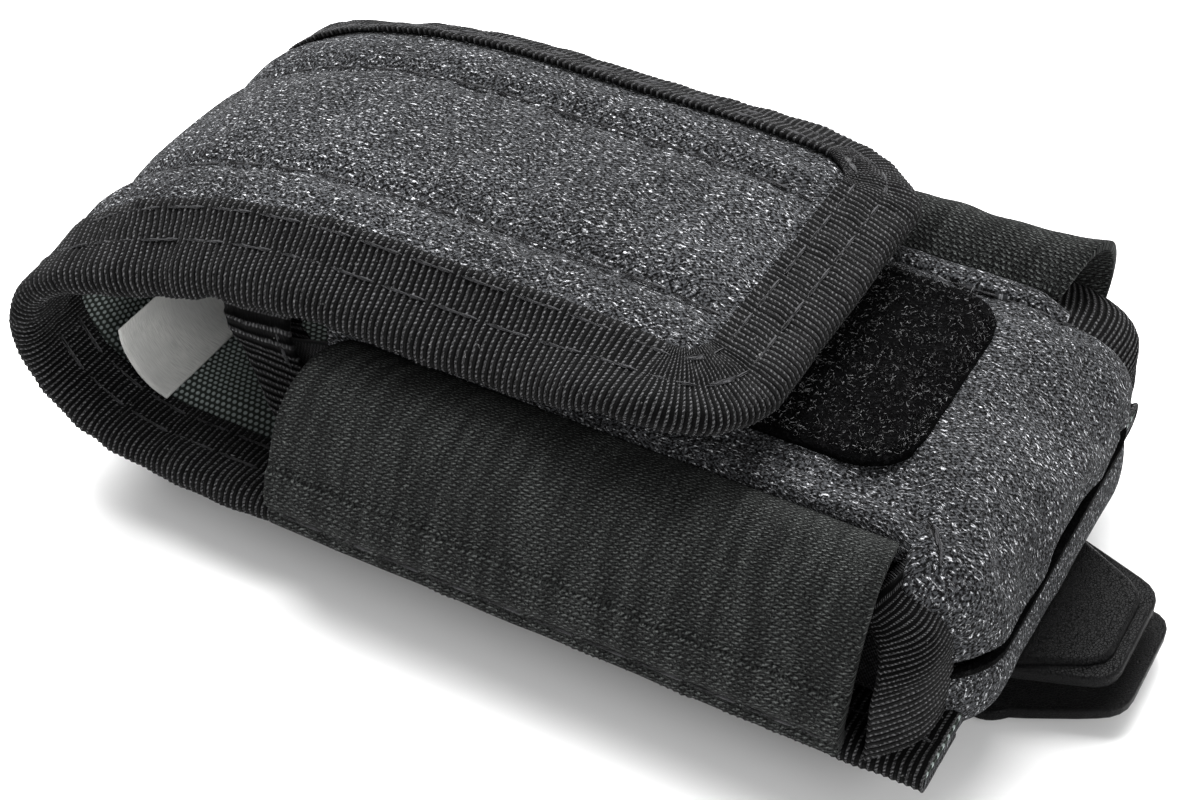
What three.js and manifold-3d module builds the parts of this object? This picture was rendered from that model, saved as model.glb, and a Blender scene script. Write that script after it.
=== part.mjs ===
// Belt sheath for a folding multi tool: padded heather cloth pouch with a hook-and-loop flap,
// elastic side pockets and a moulded two-leaf belt clip. Millimetres, +Z up, +X to the closed end.
import * as THREE from 'three';
import { mergeVertices } from 'three/addons/utils/BufferGeometryUtils.js';
import Module from 'manifold-3d';

const wasm = await Module();
wasm.setup();

// ---------- driving dimensions ----------
const GAP = 0.3;              // clearance between neighbouring pieces
const SEWN_GAP = 0.35;        // clearance where curved layers lie on each other

// cloth and tape
const SHELL = 0.9;            // heather face cloth
const FOAM = 2.2;             // padding
const LINING = 0.7;           // coated lining
const TAPE = 0.7;             // binding tape, one leg
const TAPE_WIDTH = 10.3;      // binding tape on each face
const TAPE_FOOT = 1.0;        // from the cloth's edge to the tape's outer fold
const PINCH_LENGTH = 5;       // the padding gives way over this length before the tape

// clip, from the resting face up
const LEAF = 1.8;             // thickness of each leaf
const BELT_ROOM = 4.2;        // room for the belt under the keepers
const KEEPER_THICK = 0.9;     // webbing that holds the fixed leaf to the back
const LEAF_HALF_WIDTH = 14.3;
const LEAF_TIP_HALF_WIDTH = 8.4;
const LEAF_TAPER = 14;        // length of the taper at the open end
const LEAF_CORNER = 3;        // corner at its tip
const INNER_TIP_X = 69;
const OUTER_TIP_X = 71;
const OUTER_TIP_LIFT = 3.4;   // the spring leaf closes in towards its tip
const TIP_LIFT_LENGTH = 26;
const CLIP_BEND_X = -14;      // centre of the bend at the mouth end
const CLIP_SPLIT_X = -11;     // where the spring leaf starts to flex

// back and fold
const BACK_HALF_WIDTH = 35.5;
const BACK_END_X = 56;
const FOLD_START_X = -48;     // the back starts to curl up
const FOLD_REACH = 23;        // from there to the leftmost line of the fold
const FOLD_MID_RISE = 15.5;   // height of that line above the back
const FLAP_RISE = 39.2;       // top of the flap above the back
const FLAP_ROUND = 47.7;      // length of the upper, slower half of the fold
const FLAP_FLAT = 27;         // flat stretch after it
const FLAP_TIP_X = 29.5;
const FLAP_TIP_DROP = 4.6;
const FLAP_HALF_WIDTH = 31;   // along the cloth, with its turned-down tape
const FLAP_CORNER = 14;
const NEAR_TURN = 0.64;       // radians that the flap's near long edge turns down
const FAR_TURN = 0.46;        // and its far long edge
const TURN_MARGIN = 4;        // past the middle of the fold, where they start to turn down
const TURN_LAG = 8;           // past the upper fold line, where they are fully turned
const TIP_FLATTENS = 34;      // from the tip, where they start to flatten out again
const TIP_FLAT = 10;          // from the tip, where they are flat
const HINGE_SHARE = 0.5;      // place of the lower fold line on the lower quarter
const CREASE_SHARE = 0.39;    // place of the upper fold line on the upper quarter

// front
const FRONT_RISE = 26.5;      // above the back
const FRONT_HALF_WIDTH = 20.6;
const FRONT_END_HALF_WIDTH = 25.4;
const MOUTH_X = -45;
const MOUTH_DIP = 3;          // the front is lower at the mouth
const MOUTH_DIP_LENGTH = 24;
const FRONT_TURN_X = 46;      // the front starts to round over the end
const END_X = 58.5;
const END_ROUND_HEIGHT = 13;
const END_SEAM_RISE = 9.8;

// sides
const LIP_WIDTH = 2.7;
const LIP_HEIGHT = 3.4;
const LIP_CROWN = 0.7;
const ELASTIC_START_X = -30;
const ELASTIC_LENGTH = 76.2;  // three-inch webbing
const ELASTIC = 1.5;
const ELASTIC_FOOT_HALF_WIDTH = 34.9;
const ELASTIC_BULGE_WIDTH = 8;  // how far its upper shoulder stands out beside the lip
const ELASTIC_BULGE_RISE = 4;   // and above it
const ELASTIC_BELLY = 2.6;      // how far its belly hangs out past its foot
const ELASTIC_BELLY_RISE = 14;  // height of the belly above the foot
const FAR_RIDGE = 8;            // the far elastic stands up more towards the closed end
const RIDGE_START_X = 12;
const RIDGE_FULL_X = 32;
const GUSSET = 1.0;
const SEAM_ROOM = 1.5;        // between the side wall's top and the front
const GUSSET_FOOT_HALF_WIDTH = 27.2;
const GUSSET_TOP_HALF_WIDTH = 23.2;
const MOUTH_SLOPE = 11 / 14;  // the side edge runs back as it goes down
const MOUTH_TAPE_WIDTH = 10.5;
const MOUTH_SHOULDER = 3.4;   // height of the round from the side walls to the front
const MOUTH_RAMP = 7;         // the front's padding thins out over this length
const CORNER_TAPE = 2.4;
const CORNER_TUCK = 5;        // its outer edge is pulled in from the end by this
const CORNER_TOP_TUCK = 1.5;  // the same at its top
const CORNER_TOP_WIDTH = 3.5; // its width at the top
const CORNER_START_SHARE = 0.32; // where it starts on the rounded end
const CORNER_WIDE_SHARE = 0.75;  // where it has reached its full width

// patches and label
const LOOP_HALF_WIDTH = 17;
const LOOP_START_X = -20;
const LOOP_END_X = 43;
const LOOP_THICK = 1.4;
const LOOP_CORNER = 7;
const HOOK_HALF_WIDTH = 13;
const HOOK_LENGTH = 26;
const HOOK_THICK = 1.2;
const HOOK_MARGIN = 4;        // from the tape to the hook patch
const LABEL_LENGTH = 13.5;
const LABEL_WIDTH = 17;
const LABEL = 0.4;
const LABEL_START = 7;        // past the start of the fold
const LABEL_NEAR_EDGE = -25;  // across the strip
const LABEL_LEAN = 4.5;       // how far its free end stands up off the lining

// keepers that hold the clip to the back
const KEEPER_WIDTH = 20;
const KEEPER_HALF_LENGTH = 22;
const KEEPER_XS = [-1, 38];
const KEEPER_EASE = 0.2;      // extra room beside the leaf

// ---------- levels worked out from them ----------
const BELT_GAP = BELT_ROOM + KEEPER_THICK + GAP;
const CLIP_BEND_RADIUS = LEAF + BELT_GAP / 2;
const INNER_LEAF_Z = LEAF + BELT_GAP;
const KEEPER_Z = INNER_LEAF_Z - KEEPER_THICK - GAP;
const BACK_Z = INNER_LEAF_Z + LEAF + GAP;
const PINCHED = SHELL + GAP + LINING;
const TAPED = 2 * (TAPE + GAP) + PINCHED;
const PADDED = SHELL + GAP + FOAM + GAP + LINING;
const FLAP_TOP_Z = BACK_Z + FLAP_RISE;
const FOLD_MID_Z = BACK_Z + FOLD_MID_RISE;
const FRONT_Z = BACK_Z + FRONT_RISE;
const BACK_TOP_Z = BACK_Z + PADDED + GAP;
const MOUTH_Z = FRONT_Z - MOUTH_DIP - TAPED / 2;
const SHOULDER_Z = MOUTH_Z - MOUTH_SHOULDER;
const MOUTH_LEAN = (GUSSET_FOOT_HALF_WIDTH - GUSSET_TOP_HALF_WIDTH) / (SHOULDER_Z - BACK_TOP_Z);
const MOUTH_FOOT_Z = BACK_TOP_Z + TAPED / 2 * MOUTH_LEAN;  // its leaning end stays above the lining

// ---------- materials ----------
const cloth = (color) => ({ color, roughness: 0.95, metalness: 0 });
const HEATHER = cloth(0x46474b);
const BLACK_TAPE = cloth(0x141416);
const BLACK_WEB = cloth(0x101113);
const BLACK_PILE = cloth(0x0b0b0c);
const GREY_FOAM = cloth(0x2c2d30);
const GREEN_LINING = { color: 0x3c423f, roughness: 0.7, metalness: 0 };
const WHITE_SATIN = { color: 0xe8e6e0, roughness: 0.5, metalness: 0 };
const MOULDED = { color: 0x151516, roughness: 0.45, metalness: 0 };

const sheath = new THREE.Group();

// ---------- geometry helpers ----------
function signedVolume(geometry) {
  const at = geometry.attributes.position;
  const order = geometry.index;
  const [a, b, c] = [new THREE.Vector3(), new THREE.Vector3(), new THREE.Vector3()];
  let sum = 0;
  for (let i = 0; i < order.count; i += 3) {
    a.fromBufferAttribute(at, order.getX(i));
    b.fromBufferAttribute(at, order.getX(i + 1));
    c.fromBufferAttribute(at, order.getX(i + 2));
    sum += a.dot(b.cross(c)) / 6;
  }
  return sum;
}

function faceOut(geometry) {
  if (signedVolume(geometry) > 0) return geometry;
  const order = geometry.index;
  for (let i = 0; i < order.count; i += 3) {
    const first = order.getX(i);
    order.setX(i, order.getX(i + 1));
    order.setX(i + 1, first);
  }
  return geometry;
}

function welded(geometry) {
  const bare = geometry.clone();
  bare.deleteAttribute('normal');
  bare.deleteAttribute('uv');
  return faceOut(mergeVertices(bare, 1e-4));
}

// A closed slab: a box divided lengthwise, across and through, put in place by a formula
// that is given the three shares of the way, 0 to 1.
function slab(along, across, through, place) {
  const box = new THREE.BoxGeometry(1, 1, 1, along, across, through);
  const at = box.attributes.position;
  for (let i = 0; i < at.count; i++) {
    const shares = [at.getX(i), at.getY(i), at.getZ(i)].map((v) => v + 0.5);
    at.setXYZ(i, ...place(...shares));
  }
  // The two broad faces get the same diagonals, so that nested slabs stay parallel.
  const { start, count } = box.groups[5];
  for (let i = start; i < start + count; i += 6) {
    const [a, b, d, , c] = box.index.array.slice(i, i + 6);
    box.index.array.set([a, b, c, a, c, d], i);
  }
  return welded(box);
}

function solid(geometry) {
  const vertProperties = new Float32Array(geometry.attributes.position.array);
  const triVerts = new Uint32Array(geometry.index.array);
  return new wasm.Manifold(new wasm.Mesh({ numProp: 3, vertProperties, triVerts }));
}

function cut(geometry, ...cutters) {
  let body = solid(geometry);
  for (const cutter of cutters) body = body.subtract(solid(cutter));
  const mesh = body.getMesh();
  const result = new THREE.BufferGeometry();
  result.setAttribute('position', new THREE.BufferAttribute(mesh.vertProperties, 3));
  result.setIndex(new THREE.BufferAttribute(mesh.triVerts, 1));
  return result;
}

// An outline in the XY plane, given thickness upwards from a height.
function plate(shape, height, bottom, curveSegments = 4) {
  const settings = { depth: height, bevelEnabled: false, curveSegments };
  return welded(new THREE.ExtrudeGeometry(shape, settings).translate(0, 0, bottom));
}

// An outline in the XZ plane, extruded across the width and centred on it.
function crosswise(shape, width, curveSegments = 8) {
  const settings = { depth: width, bevelEnabled: false, curveSegments };
  const body = new THREE.ExtrudeGeometry(shape, settings);
  return welded(body.rotateX(Math.PI / 2).translate(0, width / 2, 0));
}

function add(name, finish, geometry) {
  const mesh = new THREE.Mesh(geometry, new THREE.MeshStandardMaterial(finish));
  mesh.name = name;
  sheath.add(mesh);
}

const ROW_GAP = 0.25;         // rows of facets closer than this are merged
const END_ROW_GAP = 0.8;      // and closer than this to an end
const mix = THREE.MathUtils.lerp;
const ease = THREE.MathUtils.smoothstep;
const SIDES = [['near', -1], ['far', 1]];

// ---------- the long strip: back, fold and flap ----------
// Its outer skin seen from the side, from the closed end round the fold to the flap's tip.
const quarter = Math.PI / 2;
const foldTopX = FOLD_START_X - FOLD_REACH + FLAP_ROUND;
const flatEndX = foldTopX + FLAP_FLAT;
const backEnd = new THREE.Vector2(BACK_END_X, BACK_Z);
const foldStart = new THREE.Vector2(FOLD_START_X, BACK_Z);
const foldTop = new THREE.Vector2(foldTopX, FLAP_TOP_Z);
const flatEnd = new THREE.Vector2(flatEndX, FLAP_TOP_Z);
const tipTurn = new THREE.Vector2(mix(flatEndX, FLAP_TIP_X, 0.55), FLAP_TOP_Z);
const tip = new THREE.Vector2(FLAP_TIP_X, FLAP_TOP_Z - FLAP_TIP_DROP);
const flapRadius = FLAP_RISE - FOLD_MID_RISE;
const skin = new THREE.CurvePath();
skin.curves = [
  new THREE.LineCurve(backEnd, foldStart),
  new THREE.EllipseCurve(FOLD_START_X, FOLD_MID_Z, FOLD_REACH, FOLD_MID_RISE, -quarter, -Math.PI, true),
  new THREE.EllipseCurve(foldTopX, FOLD_MID_Z, FLAP_ROUND, flapRadius, Math.PI, quarter, true),
  new THREE.LineCurve(foldTop, flatEnd),
  new THREE.QuadraticBezierCurve(flatEnd, tipTurn, tip),
];
const [atFold, atMid, atTop, atFlatEnd, atTip] = skin.getCurveLengths();
const atHinge = mix(atFold, atMid, HINGE_SHARE);
const atCrease = mix(atMid, atTop, CREASE_SHARE);

// Half the cloth's width at a distance along the strip, with the flap's corners rounded.
function stripHalfWidth(s, inset) {
  const wide = mix(BACK_HALF_WIDTH, FLAP_HALF_WIDTH, ease(s, atFold, atTop)) - inset;
  const radius = FLAP_CORNER - inset;
  const left = atTip - inset - s;
  if (left >= radius) return wide;
  return wide - radius + Math.sqrt(Math.max(radius ** 2 - (radius - left) ** 2, 0));
}

// A point of the strip: distance along it, distance from its middle line, depth under the skin.
function onStrip(s, across, depth) {
  const share = THREE.MathUtils.clamp(s / atTip, 0, 1);
  const point = skin.getPointAt(share);
  const way = skin.getTangentAt(share);
  const turnsIn = ease(s, atMid + TURN_MARGIN, atCrease + TURN_LAG);
  const turnsOut = 1 - ease(s, atTip - TIP_FLATTENS, atTip - TIP_FLAT);
  const turn = (across > 0 ? FAR_TURN : NEAR_TURN) * turnsIn * turnsOut;
  const crease = stripHalfWidth(Math.min(s, atTip - FLAP_CORNER), TAPE_WIDTH);
  const over = Math.max(Math.abs(across) - crease, 0);
  const y = Math.sign(across) * (Math.abs(across) - over * (1 - Math.cos(turn)));
  const deep = depth + over * Math.sin(turn);
  return [point.x + way.y * deep, y, point.y - way.x * deep];
}

// Stations along the strip, closer together where it curves and round the flap's corners.
function stations(from, to) {
  const steps = [[0, atFold, 30], [atFold, atMid, 4], [atMid, atTop, 5], [atTop, atFlatEnd, 14]];
  const list = [];
  for (const [start, end, step] of steps) {
    const count = Math.ceil((end - start) / step);
    for (let i = 0; i < count; i++) list.push(mix(start, end, i / count));
  }
  const cornerStart = atTip - FLAP_CORNER;
  const radius = Math.max(to - cornerStart, 0);
  list.push(atFlatEnd, atTip - TAPE_WIDTH - PINCH_LENGTH, cornerStart + 0.2, atTip - TAPE_WIDTH);
  for (const angle of [35, 52, 68, 80]) {
    list.push(cornerStart + radius * Math.sin(THREE.MathUtils.degToRad(angle)));
  }
  list.sort((a, b) => a - b);
  const apart = list.filter((s, i) => i === 0 || s - list[i - 1] > ROW_GAP);
  return [from, ...apart.filter((s) => s > from + END_ROW_GAP && s < to - END_ROW_GAP), to];
}

// How far the padding gives way to the sewn edge: 0 in the middle, 1 under the tape.
function pinch(s, across) {
  const edge = stripHalfWidth(s, TAPE_WIDTH);
  const side = ease(Math.abs(across), edge - PINCH_LENGTH, edge);
  const tip = ease(s, atTip - TAPE_WIDTH - PINCH_LENGTH, atTip - TAPE_WIDTH);
  return Math.max(side, tip);
}

// Divisions across the strip: flat in the middle, then the ramp to the sewn edge.
function acrossShares(s, inset) {
  const half = stripHalfWidth(s, inset);
  const edge = Math.min(stripHalfWidth(s, TAPE_WIDTH), half - 0.2);
  const start = edge - PINCH_LENGTH;
  return [-half, -edge, -start, start, edge, half];
}

function stripLayer(from, to, inset, topOf, bottomOf) {
  const rows = stations(from, Math.min(to, atTip - inset));
  return slab(rows.length - 1, 5, 1, (a, b, c) => {
    const s = rows[Math.round(a * (rows.length - 1))];
    const across = acrossShares(s, inset)[Math.round(b * 5)];
    const press = pinch(s, across);
    return onStrip(s, across, mix(topOf(press), bottomOf(press), c));
  });
}

const shellTop = (press) => press * (TAPE + GAP);
const liningTop = (press) => shellTop(press) + SHELL + GAP + (1 - press) * (FOAM + GAP);

function stripShell(from, to) {
  return stripLayer(from, to, TAPE_FOOT, shellTop, (press) => shellTop(press) + SHELL);
}

function stripLining(from, to) {
  return stripLayer(from, to, TAPE_FOOT, liningTop, (press) => liningTop(press) + LINING);
}

// The padding stops where the cloth starts to pinch.
function stripFoam(from, to) {
  const rows = stations(from, Math.min(to, atTip - TAPE_WIDTH - PINCH_LENGTH));
  return slab(rows.length - 1, 1, 1, (a, b, c) => {
    const s = rows[Math.round(a * (rows.length - 1))];
    const half = stripHalfWidth(Math.min(s, atTip - FLAP_CORNER), TAPE_WIDTH) - PINCH_LENGTH - GAP;
    return onStrip(s, mix(-half, half, b), SHELL + GAP + c * FOAM);
  });
}

// The tape is folded round the cloth's edge: a band with a slot that the edge sits in.
function tapeBlock(from, to, insets, top, bottom, side) {
  const rows = stations(from, to);
  const last = insets.length - 1;
  const ordered = side > 0 ? insets : [...insets].reverse();
  return slab(rows.length - 1, last, 1, (a, b, c) => {
    const s = rows[Math.round(a * (rows.length - 1))];
    return onStrip(s, side * stripHalfWidth(s, ordered[Math.round(b * last)]), mix(top, bottom, c));
  });
}

function sideTape(from, to, side) {
  const band = tapeBlock(from, to, [TAPE_WIDTH, 0], 0, TAPED, side);
  const held = [TAPE_WIDTH + 1, TAPE_WIDTH, TAPE_FOOT - GAP];
  return cut(band, tapeBlock(from - 1, to + 1, held, TAPE, TAPED - TAPE, side));
}

function fullBlock(from, to, inset, top, bottom) {
  const rows = stations(from, Math.min(to, atTip - inset));
  return slab(rows.length - 1, 4, 1, (a, b, c) => {
    const s = rows[Math.round(a * (rows.length - 1))];
    const half = stripHalfWidth(s, inset);
    const crease = Math.min(stripHalfWidth(Math.min(s, atTip - FLAP_CORNER), TAPE_WIDTH), half - 0.1);
    const across = [-half, -crease, 0, crease, half][Math.round(b * 4)];
    return onStrip(s, across, mix(top, bottom, c));
  });
}

function flapTape() {
  const from = atCrease + GAP / 2;
  const band = fullBlock(from, atTip, 0, 0, TAPED);
  const slot = fullBlock(from - 1, atTip, TAPE_FOOT - GAP, TAPE, TAPED - TAPE);
  const middle = fullBlock(from - 1, atTip, TAPE_WIDTH, -2, TAPED + 3);
  return cut(band, slot, middle);
}

function buildStrip() {
  const parts = [
    ['back', 0, atHinge - GAP / 2],
    ['spine', atHinge + GAP / 2, atCrease - GAP / 2],
    ['flap', atCrease + GAP / 2, atTip],
  ];
  for (const [name, from, to] of parts) {
    add(`${name}_shell`, HEATHER, stripShell(from, to));
    add(`${name}_foam`, GREY_FOAM, stripFoam(from, to));
    add(`${name}_lining`, GREEN_LINING, stripLining(from, to));
  }
  for (const [side, sign] of SIDES) {
    add(`back_binding_${side}`, BLACK_TAPE, sideTape(0, atHinge - GAP / 2, sign));
    add(`spine_binding_${side}`, BLACK_TAPE, sideTape(atHinge + GAP / 2, atCrease - GAP / 2, sign));
  }
  add('flap_binding', BLACK_TAPE, flapTape());
}

// ---------- the front, which rounds over the closed end ----------
const frontRun = FRONT_TURN_X - MOUTH_X;
const END_ROUND_LENGTH = END_X - FRONT_TURN_X;
const endArc = Math.PI / 4 * (END_ROUND_LENGTH + END_ROUND_HEIGHT);
const endDrop = FRONT_RISE - END_ROUND_HEIGHT - END_SEAM_RISE;

function frontRise(x) {
  return FRONT_Z - MOUTH_DIP * (1 - ease(x, MOUTH_X, MOUTH_X + MOUTH_DIP_LENGTH));
}

function frontCourse(s) {
  if (s <= frontRun) return [MOUTH_X + s, frontRise(MOUTH_X + s)];
  const angle = Math.min((s - frontRun) / endArc, 1) * Math.PI / 2;
  const under = Math.max(s - frontRun - endArc, 0);
  const x = FRONT_TURN_X + END_ROUND_LENGTH * Math.sin(angle);
  return [x, FRONT_Z - END_ROUND_HEIGHT * (1 - Math.cos(angle)) - under];
}

function onFront(s, across, depth) {
  const [x, z] = frontCourse(s);
  const [x0, z0] = frontCourse(Math.max(s - 0.4, 0));
  const [x1, z1] = frontCourse(s + 0.4);
  const length = Math.hypot(x1 - x0, z1 - z0);
  return [x + (z1 - z0) / length * depth, across, z - (x1 - x0) / length * depth];
}

function frontHalfWidth(s) {
  return mix(FRONT_HALF_WIDTH, FRONT_END_HALF_WIDTH, ease(s, frontRun, frontRun + endArc));
}

const frontPinch = (s) => 1 - ease(s, MOUTH_TAPE_WIDTH, MOUTH_TAPE_WIDTH + MOUTH_RAMP);

function frontRows(from, to) {
  const steps = [[0, MOUTH_DIP_LENGTH, 4], [MOUTH_DIP_LENGTH, frontRun, 40]];
  steps.push([frontRun, frontRun + endArc, 3.4], [frontRun + endArc, to, 20]);
  const list = [];
  for (const [start, end, step] of steps) {
    const count = Math.ceil((end - start) / step);
    for (let i = 0; i < count; i++) list.push(mix(start, end, i / count));
  }
  return [from, ...list.filter((s) => s > from + END_ROW_GAP && s < to - END_ROW_GAP), to];
}

function frontLayer(from, to, narrower, topOf, bottomOf) {
  const rows = frontRows(from, to);
  return slab(rows.length - 1, 1, 1, (a, b, c) => {
    const s = rows[Math.round(a * (rows.length - 1))];
    const half = frontHalfWidth(s) - narrower;
    const press = frontPinch(s);
    return onFront(s, mix(-half, half, b), mix(topOf(press), bottomOf(press), c));
  });
}

function buildFront() {
  const seam = frontRun + endArc + endDrop;
  add('front_shell', HEATHER, frontLayer(TAPE_FOOT, seam, 0, shellTop, (p) => shellTop(p) + SHELL));
  const foamTop = () => SHELL + GAP;
  const foamFrom = MOUTH_TAPE_WIDTH + MOUTH_RAMP;
  add('front_foam', GREY_FOAM, frontLayer(foamFrom, seam - 1, 0.5, foamTop, () => SHELL + GAP + FOAM));
  add('front_lining', GREEN_LINING,
    frontLayer(TAPE_FOOT, seam - 1, 0.2, liningTop, (p) => liningTop(p) + LINING));
}

// ---------- sides ----------
const lipDrop = 0.6;  // the lip's flanks lie this far below the front
const lipOuter = FRONT_HALF_WIDTH + GAP + LIP_WIDTH;

// The folded, top-stitched edge of the front that holds the elastic's upper edge.
function lip(sign) {
  const start = ELASTIC_START_X - 2;
  const rows = [0, 0.08, 0.21, 0.4, 0.8, 1].map((share) => mix(start, FRONT_TURN_X, share));
  return slab(rows.length - 1, 4, 1, (a, b, c) => {
    const x = rows[Math.round(a * (rows.length - 1))];
    const crown = Math.sin(b * Math.PI) * LIP_CROWN;
    const top = frontRise(x) - lipDrop + crown;
    const y = sign * mix(FRONT_HALF_WIDTH + GAP, lipOuter, b);
    return [x, y, mix(top - crown - LIP_HEIGHT, top, c)];
  });
}

// The elastic bulges out between the lip and its foot on the back's tape.
function elastic(sign, ridge) {
  const foot = BACK_Z + TAPED + SEWN_GAP;
  return slab(8, 10, 1, (a, b, c) => {
    const x = ELASTIC_START_X + a * ELASTIC_LENGTH;
    const top = frontRise(x) - lipDrop - 1;
    const lift = ridge * ease(x, RIDGE_START_X, RIDGE_FULL_X);
    const shoulderY = lipOuter + ELASTIC_BULGE_WIDTH;
    const bellyY = ELASTIC_FOOT_HALF_WIDTH + ELASTIC_BELLY;
    const middle = new THREE.CubicBezierCurve(
      new THREE.Vector2(lipOuter + GAP, top),
      new THREE.Vector2(shoulderY, FRONT_Z - lipDrop - 1 + ELASTIC_BULGE_RISE + lift),
      new THREE.Vector2(bellyY, foot + ELASTIC_BELLY_RISE + lift / 2),
      new THREE.Vector2(ELASTIC_FOOT_HALF_WIDTH, foot),
    );
    const point = middle.getPoint(b);
    const way = middle.getTangent(b);
    const deep = c * ELASTIC;
    return [x, sign * (point.x + way.y * deep), point.y - way.x * deep];
  });
}

// The side wall stands between the front's underside and the back.
function gusset(sign) {
  const endX = END_X - PADDED - GAP;
  const foot = BACK_TOP_Z + GAP;
  return slab(6, 3, 1, (a, b, c) => {
    const topX = mix(MOUTH_X + TAPE_FOOT + 1, endX, a);
    const lowers = ease(topX, FRONT_TURN_X - 4, endX + 2);
    const roof = mix(frontRise(topX) - PADDED, BACK_Z + END_SEAM_RISE, lowers);
    const z = mix(foot, roof - SEAM_ROOM, b);
    const startX = MOUTH_X + TAPE_FOOT + (MOUTH_Z - z) * MOUTH_SLOPE;
    const x = mix(startX, endX, a);
    const y = mix(GUSSET_FOOT_HALF_WIDTH, GUSSET_TOP_HALF_WIDTH, (z - foot) / (SHOULDER_Z - foot));
    return [x, sign * (y + (c - 0.5) * GUSSET), z];
  });
}

// One tape round the mouth: up one side wall, across the front and down the other.
function mouthPath() {
  const foot = GUSSET_FOOT_HALF_WIDTH;
  const top = GUSSET_TOP_HALF_WIDTH;
  const corner = top - GAP;
  const path = new THREE.Path();
  path.moveTo(-foot, MOUTH_FOOT_Z);
  path.lineTo(-top, SHOULDER_Z);
  path.quadraticCurveTo(-corner, MOUTH_Z, -FRONT_HALF_WIDTH - GAP, MOUTH_Z);
  path.lineTo(FRONT_HALF_WIDTH + GAP, MOUTH_Z);
  path.quadraticCurveTo(corner, MOUTH_Z, top, SHOULDER_Z);
  path.lineTo(foot, MOUTH_FOOT_Z);
  return path;
}

function mouthBand(path, width, fromX, half, overrun) {
  return slab(30, 3, 1, (a, b, c) => {
    const share = mix(-overrun, 1 + overrun, a);
    const held = THREE.MathUtils.clamp(share, 0, 1);
    const point = path.getPointAt(held);
    const way = path.getTangentAt(THREE.MathUtils.clamp(held, 0.001, 0.999));
    const past = (share - held) * path.getLength();
    const side = mix(-half, half, c);
    const y = point.x + way.x * past - way.y * side;
    const z = point.y + way.y * past + way.x * side;
    const x = MOUTH_X + (MOUTH_Z - point.y) * MOUTH_SLOPE + fromX + b * width;
    const rise = (frontRise(x) - frontRise(MOUTH_X)) * ease(point.y, SHOULDER_Z, MOUTH_Z);
    return [x, y, z + rise];
  });
}

function buildSides() {
  const ridges = { near: 0, far: FAR_RIDGE };
  for (const [side, sign] of SIDES) {
    add(`lip_${side}`, HEATHER, lip(sign));
    add(`elastic_${side}`, BLACK_WEB, elastic(sign, ridges[side]));
    add(`gusset_${side}`, BLACK_WEB, gusset(sign));
  }
  const path = mouthPath();
  const band = mouthBand(path, MOUTH_TAPE_WIDTH, 0, TAPED / 2, 0);
  const slot = mouthBand(path, MOUTH_TAPE_WIDTH, TAPE_FOOT - GAP, TAPED / 2 - TAPE, 0.01);
  add('mouth_binding', BLACK_TAPE, cut(band, slot));
}

// ---------- closed end ----------
// The back's cloth is rolled up to the seam under the front's rounded end.
function endRoll() {
  const outer = END_X - GAP;
  const inner = BACK_END_X + GAP;
  const shape = new THREE.Shape();
  const seam = BACK_Z + END_SEAM_RISE - GAP;
  shape.moveTo(inner, BACK_Z);
  shape.quadraticCurveTo(outer, BACK_Z, outer, BACK_Z + 3);
  shape.lineTo(outer, seam - 1);
  shape.quadraticCurveTo(outer, seam, inner, seam);
  shape.closePath();
  return crosswise(shape, 2 * (FRONT_END_HALF_WIDTH - 2 * GAP), 3);
}

// A wide tape closes each upright corner, from the lip's end down to the back.
function cornerBinding(sign) {
  const from = frontRun + endArc * CORNER_START_SHARE;
  const standsOnTape = FRONT_END_HALF_WIDTH + GAP >= BACK_HALF_WIDTH - TAPE_WIDTH;
  const footRise = (standsOnTape ? TAPED : PADDED) + GAP;
  const to = frontRun + endArc + END_SEAM_RISE + endDrop - footRise;
  return slab(9, 3, 1, (a, b, c) => {
    const s = mix(from, to, a);
    const inner = frontHalfWidth(s) + GAP;
    const widens = ease(a, 0, CORNER_WIDE_SHARE);
    const outer = mix(inner + CORNER_TOP_WIDTH, BACK_HALF_WIDTH - GAP, widens);
    const tuck = b ** 2 * mix(CORNER_TOP_TUCK, CORNER_TUCK, ease(a, 0, 1));
    const [x, , z] = onFront(s, 0, c * CORNER_TAPE);
    return [x - tuck, sign * mix(inner, outer, b), z];
  });
}

function buildEnd() {
  add('end_roll', HEATHER, endRoll());
  for (const [side, sign] of SIDES) add(`corner_binding_${side}`, BLACK_TAPE, cornerBinding(sign));
}

// ---------- patches and label ----------
function roundedPatch(startX, endX, halfWidth, radius) {
  const shape = new THREE.Shape();
  shape.moveTo(startX, -halfWidth);
  shape.lineTo(endX - radius, -halfWidth);
  shape.absarc(endX - radius, radius - halfWidth, radius, -Math.PI / 2, 0, false);
  shape.absarc(endX - radius, halfWidth - radius, radius, 0, Math.PI / 2, false);
  shape.lineTo(startX, halfWidth);
  shape.closePath();
  return shape;
}

function hookPatch() {
  const end = atTip - TAPE_WIDTH - HOOK_MARGIN;
  const rows = stations(end - HOOK_LENGTH, end);
  const drop = PADDED + SEWN_GAP;
  return slab(rows.length - 1, 1, 1, (a, b, c) => {
    const s = rows[Math.round(a * (rows.length - 1))];
    return onStrip(s, mix(-HOOK_HALF_WIDTH, HOOK_HALF_WIDTH, b), drop + c * HOOK_THICK);
  });
}

// A folded satin label sewn to the lining inside the fold, leaning up off it.
function careLabel() {
  const start = atFold + LABEL_START;
  return slab(4, 1, 1, (a, b, c) => {
    const depth = PADDED + SEWN_GAP + a * LABEL_LEAN + c * LABEL;
    return onStrip(start + a * LABEL_LENGTH, LABEL_NEAR_EDGE + b * LABEL_WIDTH, depth);
  });
}

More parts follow.
